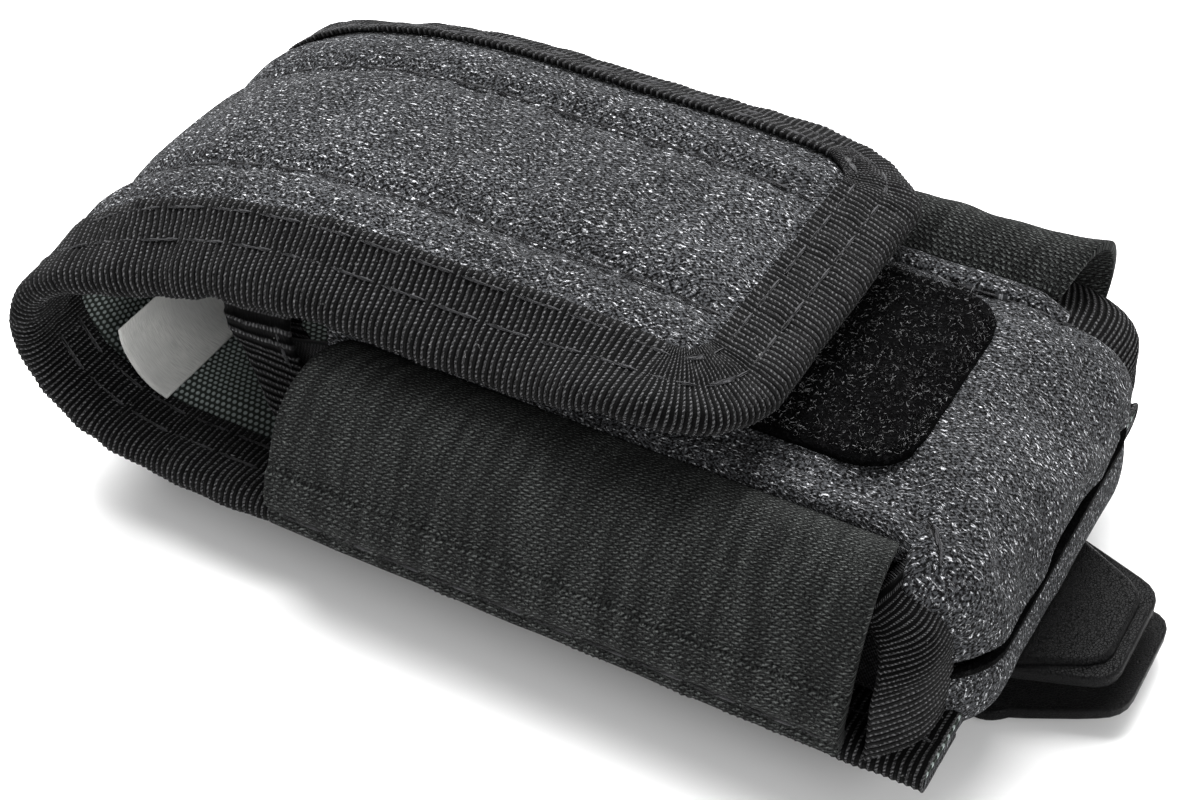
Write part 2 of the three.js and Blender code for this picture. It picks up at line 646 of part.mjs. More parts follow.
function buildPatches() {
  const loop = roundedPatch(LOOP_START_X, LOOP_END_X, LOOP_HALF_WIDTH, LOOP_CORNER);
  add('loop_patch', BLACK_PILE, plate(loop, LOOP_THICK, FRONT_Z + GAP, 5));
  add('hook_patch', BLACK_PILE, hookPatch());
  add('care_label', WHITE_SATIN, careLabel());
}

// ---------- clip and keepers ----------
// The fixed leaf lies against the back and carries the bend at the mouth end.
function innerLeaf() {
  const side = new THREE.Shape();
  const middle = LEAF + BELT_GAP / 2;
  const start = CLIP_SPLIT_X - GAP;
  side.moveTo(start, 0);
  side.lineTo(CLIP_BEND_X, 0);
  side.absarc(CLIP_BEND_X, middle, CLIP_BEND_RADIUS, -Math.PI / 2, Math.PI / 2, true);
  side.lineTo(INNER_TIP_X, INNER_LEAF_Z + LEAF);
  side.lineTo(INNER_TIP_X, INNER_LEAF_Z);
  side.lineTo(CLIP_BEND_X, INNER_LEAF_Z);
  side.absarc(CLIP_BEND_X, middle, BELT_GAP / 2, Math.PI / 2, -Math.PI / 2, false);
  side.lineTo(start, LEAF);
  side.closePath();
  const blank = crosswise(side, 2 * LEAF_HALF_WIDTH, 6);
  return cut(blank, taperBlock(INNER_TIP_X, 1), taperBlock(INNER_TIP_X, -1));
}

// The block outside a leaf's taper on one side, which is cut off it.
function taperBlock(tipX, sign) {
  const shape = new THREE.Shape();
  const shoulder = tipX - LEAF_TAPER;
  const round = LEAF_CORNER / 2;
  const wide = sign * LEAF_HALF_WIDTH;
  const outside = sign * (LEAF_HALF_WIDTH + LEAF_CORNER);
  const tipSide = sign * LEAF_TIP_HALF_WIDTH;
  const tipEnd = sign * (LEAF_TIP_HALF_WIDTH - LEAF_CORNER);
  shape.moveTo(shoulder - round, wide);
  shape.quadraticCurveTo(shoulder, wide, shoulder + round, wide - sign * round);
  shape.lineTo(tipX - LEAF_CORNER, tipSide + sign);
  shape.quadraticCurveTo(tipX, tipSide, tipX, tipEnd);
  shape.lineTo(tipX + LEAF_CORNER, tipEnd);
  shape.lineTo(tipX + LEAF_CORNER, outside);
  shape.lineTo(shoulder - round, outside);
  shape.closePath();
  return plate(shape, BACK_Z + LEAF, -LEAF);
}

// The spring leaf carries the flat face that the sheath rests on.
function outerLeaf() {
  const side = new THREE.Shape();
  const lift = OUTER_TIP_X - TIP_LIFT_LENGTH;
  side.moveTo(CLIP_SPLIT_X, 0);
  side.lineTo(lift, 0);
  side.quadraticCurveTo(OUTER_TIP_X - TIP_LIFT_LENGTH / 2, 0, OUTER_TIP_X, OUTER_TIP_LIFT);
  side.lineTo(OUTER_TIP_X, OUTER_TIP_LIFT + LEAF);
  side.quadraticCurveTo(OUTER_TIP_X - TIP_LIFT_LENGTH / 2, LEAF, lift, LEAF);
  side.lineTo(CLIP_SPLIT_X, LEAF);
  side.closePath();
  const blank = crosswise(side, 2 * LEAF_HALF_WIDTH, 5);
  return cut(blank, taperBlock(OUTER_TIP_X, 1), taperBlock(OUTER_TIP_X, -1));
}

// A webbing band sewn to the back on both sides of the fixed leaf, which slides into it.
function keeper(centreX) {
  const inside = LEAF_HALF_WIDTH + GAP + KEEPER_EASE;
  const shape = new THREE.Shape();
  const top = BACK_Z - GAP;
  const wall = inside + KEEPER_THICK;
  shape.moveTo(-KEEPER_HALF_LENGTH, top);
  shape.lineTo(-KEEPER_HALF_LENGTH, top - KEEPER_THICK);
  shape.lineTo(-wall, top - KEEPER_THICK);
  shape.lineTo(-wall, KEEPER_Z);
  shape.lineTo(wall, KEEPER_Z);
  shape.lineTo(wall, top - KEEPER_THICK);
  shape.lineTo(KEEPER_HALF_LENGTH, top - KEEPER_THICK);
  shape.lineTo(KEEPER_HALF_LENGTH, top);
  shape.lineTo(inside, top);
  shape.lineTo(inside, KEEPER_Z + KEEPER_THICK);
  shape.lineTo(-inside, KEEPER_Z + KEEPER_THICK);
  shape.lineTo(-inside, top);
  shape.closePath();
  const settings = { depth: KEEPER_WIDTH, bevelEnabled: false };
  const body = new THREE.ExtrudeGeometry(shape, settings).rotateX(Math.PI / 2).rotateZ(Math.PI / 2);
  return welded(body.translate(centreX - KEEPER_WIDTH / 2, 0, 0));
}

function buildClip() {
  add('clip_inner_leaf', MOULDED, innerLeaf());
  add('clip_outer_leaf', MOULDED, outerLeaf());
  KEEPER_XS.forEach((x, i) => add(`clip_keeper_${i + 1}`, BLACK_WEB, keeper(x)));
}

buildStrip();
buildFront();
buildSides();
buildEnd();
buildPatches();
buildClip();

export default sheath;
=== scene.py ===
"""Belt sheath for a folding multi tool: heather cloth, ribbed binding tape, elastic side pockets and a
moulded belt clip, made over the CAD bodies. Lengths in the making are millimetres; meshes are metres."""
import bisect
import math
import random

import bmesh
import bpy
from mathutils import Euler, Matrix, Vector, noise
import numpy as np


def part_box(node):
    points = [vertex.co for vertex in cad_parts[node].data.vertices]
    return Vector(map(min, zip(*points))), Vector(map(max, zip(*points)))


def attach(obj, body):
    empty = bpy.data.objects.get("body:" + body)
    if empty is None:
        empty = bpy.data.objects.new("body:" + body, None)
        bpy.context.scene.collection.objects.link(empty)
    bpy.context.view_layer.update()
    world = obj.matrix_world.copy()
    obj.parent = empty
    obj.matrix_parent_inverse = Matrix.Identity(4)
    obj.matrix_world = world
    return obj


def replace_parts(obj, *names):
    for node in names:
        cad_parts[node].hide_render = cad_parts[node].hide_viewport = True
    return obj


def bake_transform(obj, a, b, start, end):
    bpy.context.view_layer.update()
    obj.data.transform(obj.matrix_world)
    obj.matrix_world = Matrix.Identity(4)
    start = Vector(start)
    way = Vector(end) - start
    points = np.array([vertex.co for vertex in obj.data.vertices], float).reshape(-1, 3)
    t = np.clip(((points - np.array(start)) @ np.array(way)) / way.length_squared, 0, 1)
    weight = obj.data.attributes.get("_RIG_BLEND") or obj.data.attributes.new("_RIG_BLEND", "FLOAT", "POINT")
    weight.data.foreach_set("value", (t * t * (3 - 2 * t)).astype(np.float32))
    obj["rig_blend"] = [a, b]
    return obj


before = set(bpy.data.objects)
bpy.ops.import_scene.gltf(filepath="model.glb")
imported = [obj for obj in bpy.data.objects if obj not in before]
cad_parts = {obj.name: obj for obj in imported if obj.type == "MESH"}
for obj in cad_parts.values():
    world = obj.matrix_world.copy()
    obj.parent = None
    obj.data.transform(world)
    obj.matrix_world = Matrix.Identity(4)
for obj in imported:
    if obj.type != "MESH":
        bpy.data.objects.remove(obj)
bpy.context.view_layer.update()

MM = 0.001
QUARTER = math.pi / 2

# ---------- sizes of the cloth shapes, in millimetres ----------
TAPE_WIDTH = 10.3
TAPE_FOOT = 1.0          # the cloth stops this far inside the folded tape
TAPED = 3.9              # thickness of the strip under its tape
PADDED = 4.4             # and between the tapes
PINCH_LENGTH = 5
BACK_HALF_WIDTH = 35.5
FLAP_HALF_WIDTH = 31
FLAP_CORNER = 14
NEAR_TURN = 0.64         # how far the tape turns down along the flap's sides, in radians
FAR_TURN = 0.42
FAR_TIP_TURN = 0.36
TIP_FLATTENS = 34        # the near turn fades over this length
TIP_FLAT = 10            # and is gone this far from the tip
TURN_EASE = 3.5
FOLD_START_X = -48
FOLD_REACH = 23
FOLD_MID_RISE = 15.5
FLAP_ROUND = 47.7
FLAP_FLAT = 27
FLAP_TIP_DROP = 4.6
TIP_BEND_SHARE = 0.55
HINGE_SHARE = 0.5
CREASE_SHARE = 0.39
MOUTH_X = -45
MOUTH_DIP = 3
MOUTH_DIP_LENGTH = 24
MOUTH_SLOPE = 11 / 14
MOUTH_TAPE_WIDTH = 10.5
MOUTH_SHOULDER = 3.4
FRONT_TURN_X = 46
FRONT_HALF_WIDTH = 20.6
FRONT_END_HALF_WIDTH = 25.4
END_ROUND_HEIGHT = 13
END_SEAM_RISE = 9.8
LIP_WIDTH = 2.7
LIP_DEPTH = 3.3
COLLAR_HALF_WIDTH = 27.2
ELASTIC_LENGTH = 76.2
ELASTIC_RUN = 31.0       # its width over the bulge
HOOK_SIDE = 26
HOOK_MARGIN = 4          # from the tape to the hook patch
LABEL_LENGTH = 14
LABEL_NEAR_EDGE = -26.5
LABEL_FAR_EDGE = -8.5
PATCH_CORNER = 7
CLOTH_GAP = 0.3
GUSSET_FOOT_HALF_WIDTH = 27.2
GUSSET_TOP_HALF_WIDTH = 23.2

# ---------- looks ----------
RIB_PITCH = 0.9
CORNER_RIB = 0.98
KEEPER_RIB = 1.6
RIB_THREAD = 0.52
STEPS_PER_RIB = 4
STITCH = 2.6
STITCH_GAP = 0.9
STITCH_STEPS = 400
CHANNEL_HALF_WIDTH = 12.3
GROOVE_WIDTH = 1.1
GROOVE_DEPTH = 1.1
PAD_CROWN = 0.7
PAD_STEP = 1.25
LINING_STEP = 2
LINING_THICK = 0.55
LINING_CELL = 0.88
TAPE_THICK = 0.55
RIB_RELIEF = 0.1
FAR_RIDGE = 9.5          # how far the far elastic stands up towards the closed end
ELASTIC_THICK = 1.15
HEM = 0.78               # share of the elastic above its folded hem
HEM_THICK = 0.75
FOOT_SEAM = 0.95
SEAM_SHADE_HALF_WIDTH = 0.5          # half width of the painted shade strip in the end seam
LOOPS = 9000
LOOP_HEIGHT = 0.09
CLOTH_SHINE = 0.03
PLASTIC_SHINE = 0.07
CAMERA_TURN, CAMERA_RISE = math.radians(29.105), math.radians(41.409)
CAMERA_DISTANCE = 0.295126
CAMERA_LENS = 69
WORLD_LIGHT = 0.42


def corner(node, which):
    """The lowest (0) or highest (1) corner of a CAD node, in millimetres."""
    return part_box(node)[which] / MM


BACK_Z = corner("back_shell", 0).z
BACK_END_X = corner("back_shell", 1).x
FLAP_TOP_Z = corner("flap_shell", 1).z
FLAP_TIP_X = corner("flap_binding", 1).x
FRONT_Z = corner("front_shell", 1).z
END_X = corner("front_shell", 1).x
ELASTIC_START_X = corner("elastic_near", 0).x
FLAP_RISE = FLAP_TOP_Z - BACK_Z
FOLD_MID_Z = BACK_Z + FOLD_MID_RISE
FRONT_RISE = FRONT_Z - BACK_Z


def mix(a, b, share):
    return a + (b - a) * share


def ease(value, low, high):
    share = min(max((value - low) / (high - low), 0), 1)
    return share * share * (3 - 2 * share)


def ridge(value, centre, width):
    """1 at the centre, falling away on both sides."""
    return math.exp(-((value - centre) / width) ** 2)


def wobble(x, y, z=0.0, size=8.0):
    """Smooth noise of about -1 to 1 with features of that size."""
    return noise.noise(Vector((x / size, y / size, z / size))) * 1.6


# ---------- the long strip's skin, seen from the side ----------
def skin_points():
    """Points of the skin from the closed end round the fold to the flap's tip, and the numbers of
    the points where the fold, its upper half and the flat flap begin."""
    back_steps, fold_steps, round_steps, flat_steps, tip_steps = 50, 120, 160, 20, 60
    fold_top_x = FOLD_START_X - FOLD_REACH + FLAP_ROUND
    flat_end_x = fold_top_x + FLAP_FLAT
    points = [(mix(BACK_END_X, FOLD_START_X, i / back_steps), BACK_Z) for i in range(back_steps)]
    marks = [len(points)]
    for i in range(fold_steps):
        angle = -QUARTER - QUARTER * i / fold_steps
        points.append((FOLD_START_X + FOLD_REACH * math.cos(angle),
                       FOLD_MID_Z + FOLD_MID_RISE * math.sin(angle)))
    marks.append(len(points))
    for i in range(round_steps):
        angle = 2 * QUARTER - QUARTER * i / round_steps
        points.append((fold_top_x + FLAP_ROUND * math.cos(angle),
                       FOLD_MID_Z + (FLAP_RISE - FOLD_MID_RISE) * math.sin(angle)))
    marks.append(len(points))
    points += [(mix(fold_top_x, flat_end_x, i / flat_steps), FLAP_TOP_Z) for i in range(flat_steps)]
    turn_x = mix(flat_end_x, FLAP_TIP_X, TIP_BEND_SHARE)
    for i in range(tip_steps + 1):
        a = i / tip_steps
        x = (1 - a) ** 2 * flat_end_x + 2 * a * (1 - a) * turn_x + a * a * FLAP_TIP_X
        points.append((x, FLAP_TOP_Z - a * a * FLAP_TIP_DROP))
    return points, marks


SKIN, skin_marks = skin_points()
SKIN_AT = [0.0]
for before, after in zip(SKIN, SKIN[1:]):
    SKIN_AT.append(SKIN_AT[-1] + math.dist(before, after))
AT_FOLD, AT_MID, AT_TOP = [SKIN_AT[i] for i in skin_marks]
AT_TIP = SKIN_AT[-1]
AT_HINGE = mix(AT_FOLD, AT_MID, HINGE_SHARE)
AT_CREASE = mix(AT_MID, AT_TOP, CREASE_SHARE)


def skin_at(s):
    """(x, z, way x, way z) of the skin at a distance along it."""
    s = min(max(s, 0), AT_TIP)
    i = min(max(bisect.bisect_right(SKIN_AT, s) - 1, 0), len(SKIN) - 2)
    share = (s - SKIN_AT[i]) / (SKIN_AT[i + 1] - SKIN_AT[i])
    x = mix(SKIN[i][0], SKIN[i + 1][0], share)
    z = mix(SKIN[i][1], SKIN[i + 1][1], share)
    low, high = max(i - 1, 0), min(i + 2, len(SKIN) - 1)
    length = math.dist(SKIN[low], SKIN[high])
    return x, z, (SKIN[high][0] - SKIN[low][0]) / length, (SKIN[high][1] - SKIN[low][1]) / length


def strip_half_width(s, inset=0.0):
    wide = mix(BACK_HALF_WIDTH, FLAP_HALF_WIDTH, ease(s, AT_FOLD, AT_TOP)) - inset
    radius = FLAP_CORNER - inset
    left = AT_TIP - inset - s
    if left >= radius:
        return wide
    return wide - radius + math.sqrt(max(radius ** 2 - (radius - left) ** 2, 0))


def on_strip(s, across, depth):
    """A point of the strip: along it, across from its middle line, depth under the skin."""
    x, z, way_x, way_z = skin_at(s)
    flattens = ease(s, AT_TIP - TIP_FLATTENS, AT_TIP - TIP_FLAT)
    full = mix(FAR_TURN, FAR_TIP_TURN, flattens) if across > 0 else NEAR_TURN * (1 - flattens)
    turn = full * ease(s, AT_MID + 4, AT_CREASE + 8)
    crease = strip_half_width(min(s, AT_TIP - FLAP_CORNER), TAPE_WIDTH)
    over = max(abs(across) - crease, 0)
    y = math.copysign(abs(across) - over * (1 - math.cos(turn)), across)
    deep = depth + over * math.sin(turn) * ease(over, -0.5, TURN_EASE)
    return Vector((x + way_z * deep, y, z - way_x * deep))


def strip_press(s, across):
    """How far the padding gives way to the sewn edge: 0 in the middle, 1 under the tape."""
    edge = strip_half_width(s, TAPE_WIDTH)
    side = ease(abs(across), edge - PINCH_LENGTH, edge)
    return max(side, ease(s, AT_TIP - TAPE_WIDTH - PINCH_LENGTH, AT_TIP - TAPE_WIDTH))


# ---------- making meshes ----------
def cloth_panel(name, along, across, place, lay):
    """A panel made from a grid. place(u, v, h) puts a point, h 0 on top and 1 underneath;
    lay(u, v) is its place on the flat cloth in millimetres, which becomes the UV map."""
    bm = bmesh.new()
    bmesh.ops.create_grid(bm, x_segments=along, y_segments=across, size=0.5)
    share_u = bm.verts.layers.float.new("share_u")
    share_v = bm.verts.layers.float.new("share_v")
    level = bm.verts.layers.float.new("level")
    for vert in bm.verts:
        vert[share_u], vert[share_v] = vert.co.x + 0.5, vert.co.y + 0.5
    grown = bmesh.ops.extrude_face_region(bm, geom=bm.faces[:])["geom"]
    for vert in grown:
        if isinstance(vert, bmesh.types.BMVert):
            vert[level] = 1.0
    uv = bm.loops.layers.uv.new("cloth")
    for vert in bm.verts:
        vert.co = place(vert[share_u], vert[share_v], vert[level]) * MM
    for face in bm.faces:
        face.smooth = True
        for loop in face.loops:
            loop[uv].uv = lay(loop.vert[share_u], loop.vert[share_v])
    bmesh.ops.recalc_face_normals(bm, faces=bm.faces[:])
    return finished(name, bm)


def finished(name, bm):
    mesh = bpy.data.meshes.new(name)
    bm.to_mesh(mesh)
    bm.free()
    piece = bpy.data.objects.new(name, mesh)
    bpy.context.scene.collection.objects.link(piece)
    return piece


def dress(piece, material):
    piece.data.materials.clear()
    piece.data.materials.append(material)
    return piece


def inflate(piece, is_sewn, pressure, cap):
    """Blows the padded piece up with a cloth simulation and lets no point move further than cap.
    is_sewn(u, v) names the points of its face that are held, and its underside is held too."""
    bm = bmesh.new()
    bm.from_mesh(piece.data)
    share_u, share_v, level = [bm.verts.layers.float[key] for key in ("share_u", "share_v", "level")]
    pinned = [v.index for v in bm.verts if v[level] > 0.5 or is_sewn(v[share_u], v[share_v])]
    bm.free()
    group = piece.vertex_groups.new(name="sewn")
    group.add(pinned, 1.0, "REPLACE")
    before = [v.co.copy() for v in piece.data.vertices]
    cloth = piece.modifiers.new("padding", "CLOTH")
    settings = cloth.settings
    settings.quality = 6
    settings.mass = 0.2
    settings.tension_stiffness = settings.compression_stiffness = 12
    settings.shear_stiffness = 6
    settings.bending_stiffness = 0.3
    settings.use_pressure = True
    settings.uniform_pressure_force = pressure
    settings.shrink_min = -0.02
    settings.vertex_group_mass = "sewn"
    settings.effector_weights.gravity = 0
    cloth.collision_settings.use_self_collision = False
    steps = 20
    cloth.point_cache.frame_start, cloth.point_cache.frame_end = 1, steps
    scene = bpy.context.scene
    for step in range(1, steps + 1):
        scene.frame_set(step)
    graph = bpy.context.evaluated_depsgraph_get()
    after = [v.co.copy() for v in piece.evaluated_get(graph).data.vertices]
    piece.modifiers.remove(cloth)
    scene.frame_set(1)
    for vert, old, new in zip(piece.data.vertices, before, after):
        move = new - old
        if move.length > cap * MM:
            move *= cap * MM / move.length
        vert.co = old + move


def copies(name, template, placings):
    """A mesh of many copies of a small bmesh, one for each matrix."""
    shape = [v.co.copy() for v in template.verts]
    while len(template.verts) < len(shape) * len(placings):
        bmesh.ops.duplicate(template, geom=template.verts[:] + template.edges[:] + template.faces[:])
    template.verts.ensure_lookup_table()
    bmesh.ops.delete(template, geom=template.verts[len(shape) * len(placings):], context="VERTS")
    for i, vert in enumerate(template.verts):
        vert.co = placings[i // len(shape)] @ shape[i % len(shape)]
    for face in template.faces:
        face.smooth = True
    return finished(name, template)


def stitch_row(path, thread):
    """Matrices for a row of stitches along path, a function of 0 to 1 giving (point, outward normal)."""
    points = [path(i / STITCH_STEPS) for i in range(STITCH_STEPS + 1)]
    run = [0.0]
    for (a, _), (b, _) in zip(points, points[1:]):
        run.append(run[-1] + (b - a).length)
    placings = []
    place = STITCH_GAP
    while place + STITCH < run[-1]:
        ends = []
        for where in (place, place + STITCH):
            i = min(bisect.bisect_right(run, where) - 1, STITCH_STEPS - 1)
            share = (where - run[i]) / max(run[i + 1] - run[i], 1e-6)
            ends.append((points[i][0].lerp(points[i + 1][0], share), points[i][1]))
        (start, up), (end, _) = ends
        along = (end - start).normalized()
        side = up.cross(along).normalized()
        turned = Matrix((along, side, along.cross(side))).transposed().to_4x4()
        size = Matrix.Diagonal((STITCH / 2, thread * 0.55, thread * 0.45, 1))
        placings.append(Matrix.Translation((start + end) / 2 * MM) @ turned @ size)
        place += STITCH + STITCH_GAP
    return placings


def stitches(name, *paths, thread=0.42):
    bm = bmesh.new()
    lying = Matrix.Rotation(QUARTER, 4, "Y")
    bmesh.ops.create_uvsphere(bm, u_segments=8, v_segments=5, radius=MM, matrix=lying)
    return copies(name, bm, [m for path in paths for m in stitch_row(path, thread)])


def strip_path(start, end, depth):
    """A path on the strip from start to end, each (s, across), for stitch_row."""
    def path(share):
        s, across = mix(start[0], end[0], share), mix(start[1], end[1], share)
        point = on_strip(s, across, depth)
        beside = on_strip(s, across + 0.5, depth) - on_strip(s, across - 0.5, depth)
        onward = on_strip(s + 0.5, across, depth) - on_strip(s - 0.5, across, depth)
        normal = onward.cross(beside).normalized()
        return point, -normal if normal.dot(point - on_strip(s, across, depth + 1)) < 0 else normal
    return path


# ---------- node helpers ----------
class Nodes:
    """Short ways to place nodes in a material's or a group's tree."""

    def __init__(self, tree):
        self.tree = tree

    def add(self, kind, **settings):
        node = self.tree.nodes.new(kind)
        inputs = settings.pop("inputs", {})
        for key, value in settings.items():
            setattr(node, key, value)
        for key, value in inputs.items():
            if isinstance(value, bpy.types.NodeSocket):
                self.tree.links.new(value, node.inputs[key])
            else:
                node.inputs[key].default_value = value
        return node

    def math(self, operation, a, b=0.0):
        return self.add("ShaderNodeMath", operation=operation, inputs={0: a, 1: b}).outputs[0]

    def noise(self, vector, scale, detail=2.0, roughness=0.5, distortion=0.0):
        node = self.add("ShaderNodeTexNoise", inputs={"Vector": vector, "Scale": scale, "Detail": detail,
                                                      "Roughness": roughness, "Distortion": distortion})
        return node.outputs["Fac"]

    def ramp(self, value, low, high, to_low=0.0, to_high=1.0):
        node = self.add("ShaderNodeMapRange", interpolation_type="SMOOTHSTEP",
                        inputs={"Value": value, "From Min": low, "From Max": high,
                                "To Min": to_low, "To Max": to_high})
        return node.outputs["Result"]

    def stretch(self, vector, x, y, z=1.0, offset=(0, 0, 0), turn=0.0):
        node = self.add("ShaderNodeMapping", inputs={"Vector": vector, "Scale": (x, y, z),
                                                     "Location": offset, "Rotation": (0, 0, turn)})
        return node.outputs["Vector"]

    def blend(self, share, a, b, mode="MIX"):
        node = self.add("ShaderNodeMix", data_type="RGBA", blend_type=mode)
        for key, value in ((0, share), (6, a), (7, b)):
            if isinstance(value, bpy.types.NodeSocket):
                self.tree.links.new(value, node.inputs[key])
            else:
                node.inputs[key].default_value = value
        return node.outputs[2]

    def place(self, group, **inputs):
        return self.add("ShaderNodeGroup", node_tree=group, inputs=inputs)

    def uneven(self, color, lint):
        """The colour, shaded by the lint group's broad unevenness."""
        light = lint.outputs["Uneven"]
        shade = self.add("ShaderNodeCombineColor", inputs={0: light, 1: light, 2: light}).outputs[0]
        return self.blend(1.0, color, shade, "MULTIPLY")


def node_group(name, inputs, outputs):
    """An empty shader node group with those sockets: (tree, helper, input node, output node)."""
    tree = bpy.data.node_groups.new(name, "ShaderNodeTree")
    for socket_name, kind, default in inputs:
        socket = tree.interface.new_socket(socket_name, in_out="INPUT", socket_type=kind)
        if default is not None:
            socket.default_value = default
    for socket_name, kind in outputs:
        tree.interface.new_socket(socket_name, in_out="OUTPUT", socket_type=kind)
    helper = Nodes(tree)
    return tree, helper, helper.add("NodeGroupInput"), helper.add("NodeGroupOutput")


def make_yarn_group():
    """Plain weave of two-tone yarn: mottled threads with pale slubs along and across."""
    tree, n, given, out = node_group(
        "heather_yarn", [("Cloth", "NodeSocketVector", None)],
        [("Pale", "NodeSocketFloat"), ("Shade", "NodeSocketFloat"), ("Height", "NodeSocketFloat")])
    cloth = given.outputs["Cloth"]
    lengthwise = n.noise(n.stretch(cloth, 1.0, 3.0), 1.0, 2.0, 0.6)
    crosswise = n.noise(n.stretch(cloth, 3.0, 1.5, offset=(7, 3, 0)), 1.0, 2.0, 0.6)
    slanted = n.noise(n.stretch(cloth, 1.2, 2.9, offset=(3, 9, 0), turn=0.5), 1.0, 1.5, 0.5)
    grain = n.noise(n.stretch(cloth, 2.3, 2.7, offset=(1, 5, 0)), 1.0, 1.0, 0.5)
    patches = n.noise(n.stretch(cloth, 0.22, 0.35), 1.0, 2.0)
    dashes = n.ramp(lengthwise, 0.575, 0.66)
    cross_dashes = n.ramp(crosswise, 0.62, 0.72)
    slants = n.ramp(slanted, 0.63, 0.72)
    pale = n.math("MAXIMUM", dashes, n.math("MULTIPLY", cross_dashes, 0.6))
    pale = n.math("MAXIMUM", pale, n.math("MULTIPLY", slants, 0.7))
    speckle = n.ramp(grain, 0.44, 0.56)
    pale = n.math("MULTIPLY", pale, n.math("ADD", n.math("MULTIPLY", speckle, 0.8), 0.2))
    pale = n.math("MULTIPLY", pale, n.ramp(patches, 0.35, 0.65, 0.5, 1.1))
    broad = n.noise(n.stretch(cloth, 0.09, 0.12), 1.0, 2.0)
    shade = n.math("MULTIPLY", speckle, n.ramp(broad, 0.3, 0.7, 0.75, 1.1))
    waves = n.add("ShaderNodeSeparateXYZ", inputs={0: cloth})
    over = n.math("SINE", n.math("MULTIPLY", waves.outputs[0], 2 * math.pi / 0.62))
    under = n.math("SINE", n.math("MULTIPLY", waves.outputs[1], 2 * math.pi / 0.5))
    weave = n.math("MULTIPLY", over, under)
    height = n.math("ADD", n.math("MULTIPLY", weave, 0.25), n.math("MULTIPLY", pale, 0.5))
    height = n.math("ADD", height, n.math("MULTIPLY", grain, 0.9))
    for key, value in (("Pale", pale), ("Shade", shade), ("Height", height)):
        tree.links.new(value, out.inputs[key])
    return tree


def make_rib_group():
    """Grosgrain: cords across the tape with a broken pale thread on each."""
    tree, n, given, out = node_group(
        "tape_ribs",
        [("Cloth", "NodeSocketVector", None), ("Pitch", "NodeSocketFloat", RIB_PITCH),
         ("Thread", "NodeSocketFloat", RIB_THREAD)],
        [("Light", "NodeSocketFloat"), ("Height", "NodeSocketFloat")])
    parts = n.add("ShaderNodeSeparateXYZ", inputs={0: given.outputs["Cloth"]})
    ragged = n.noise(given.outputs["Cloth"], 0.35, 2.0)
    drift = n.math("MULTIPLY", n.math("SUBTRACT", ragged, 0.5), 0.4)
    along = n.math("DIVIDE", n.math("ADD", parts.outputs[0], drift), given.outputs["Pitch"])
    rib = n.math("COSINE", n.math("MULTIPLY", along, 2 * math.pi))
    row = n.math("ROUND", along)
    shift = n.math("MULTIPLY", n.math("MODULO", row, 2.0), 0.5)
    lean = n.math("MULTIPLY", n.math("SUBTRACT", along, row), 1.1)
    cross = n.math("DIVIDE", parts.outputs[1], given.outputs["Thread"])
    cross = n.math("ADD", n.math("ADD", cross, shift), lean)
    bead = n.math("COSINE", n.math("MULTIPLY", cross, 2 * math.pi))
    fuzz = n.noise(n.stretch(given.outputs["Cloth"], 3.0, 3.6), 1.0, 2.0, 0.6)
    line = n.ramp(rib, 0.1, 0.9)
    beads = n.ramp(bead, -0.7, 0.6, 0.3, 1.0)
    light = n.math("MULTIPLY", n.math("MULTIPLY", line, beads), n.ramp(fuzz, 0.34, 0.62, 0.1, 1.0))
    knots = n.math("MULTIPLY", n.math("MULTIPLY", bead, line), 0.4)
    height = n.math("ADD", n.math("MULTIPLY", rib, 0.5), knots)
    height = n.math("ADD", height, n.math("MULTIPLY", fuzz, 0.35))
    tree.links.new(light, out.inputs["Light"])
    tree.links.new(height, out.inputs["Height"])
    return tree


def make_twill_group():
    """Elastic webbing: rows of short slanting dashes, each row half a dash on, in faint broad stripes."""
    tree, n, given, out = node_group(
        "elastic_twill",
        [("Cloth", "NodeSocketVector", None), ("Row", "NodeSocketFloat", 0.58),
         ("Dash", "NodeSocketFloat", 0.95)],
        [("Light", "NodeSocketFloat"), ("Height", "NodeSocketFloat")])
    ragged = n.noise(given.outputs["Cloth"], 0.3, 2.0)
    parts = n.add("ShaderNodeSeparateXYZ", inputs={0: given.outputs["Cloth"]})
    drift = n.math("MULTIPLY", n.math("SUBTRACT", ragged, 0.5), 0.5)
    y = n.math("DIVIDE", n.math("ADD", parts.outputs[1], drift), given.outputs["Row"])
    row = n.math("ROUND", y)
    off_row = n.math("SUBTRACT", y, row)
    x = n.math("DIVIDE", n.math("ADD", parts.outputs[0], drift), given.outputs["Dash"])
    x = n.math("ADD", n.math("ADD", x, n.math("MULTIPLY", row, 0.5)), n.math("MULTIPLY", off_row, 1.1))
    thread = n.math("COSINE", n.math("MULTIPLY", off_row, 2 * math.pi))
    dash = n.math("COSINE", n.math("MULTIPLY", x, 2 * math.pi))
    fuzz = n.noise(n.stretch(given.outputs["Cloth"], 3.0, 4.4), 1.0, 2.0, 0.65)
    broad = n.noise(n.stretch(given.outputs["Cloth"], 0.5, 0.06, turn=0.5), 1.0, 2.0)
    crown = n.math("MULTIPLY", n.ramp(thread, -0.7, 0.5), n.ramp(dash, -0.75, 0.45))
    light = n.math("MULTIPLY", n.ramp(crown, 0.0, 1.0, 0.2, 1.0), n.ramp(fuzz, 0.4, 0.62, 0.05, 1.15))
    light = n.math("MULTIPLY", light, n.ramp(broad, 0.35, 0.65, 0.55, 1.15))
    height = n.math("ADD", n.math("MULTIPLY", crown, 0.7), n.math("MULTIPLY", fuzz, 0.5))
    tree.links.new(light, out.inputs["Light"])
    tree.links.new(height, out.inputs["Height"])
    return tree


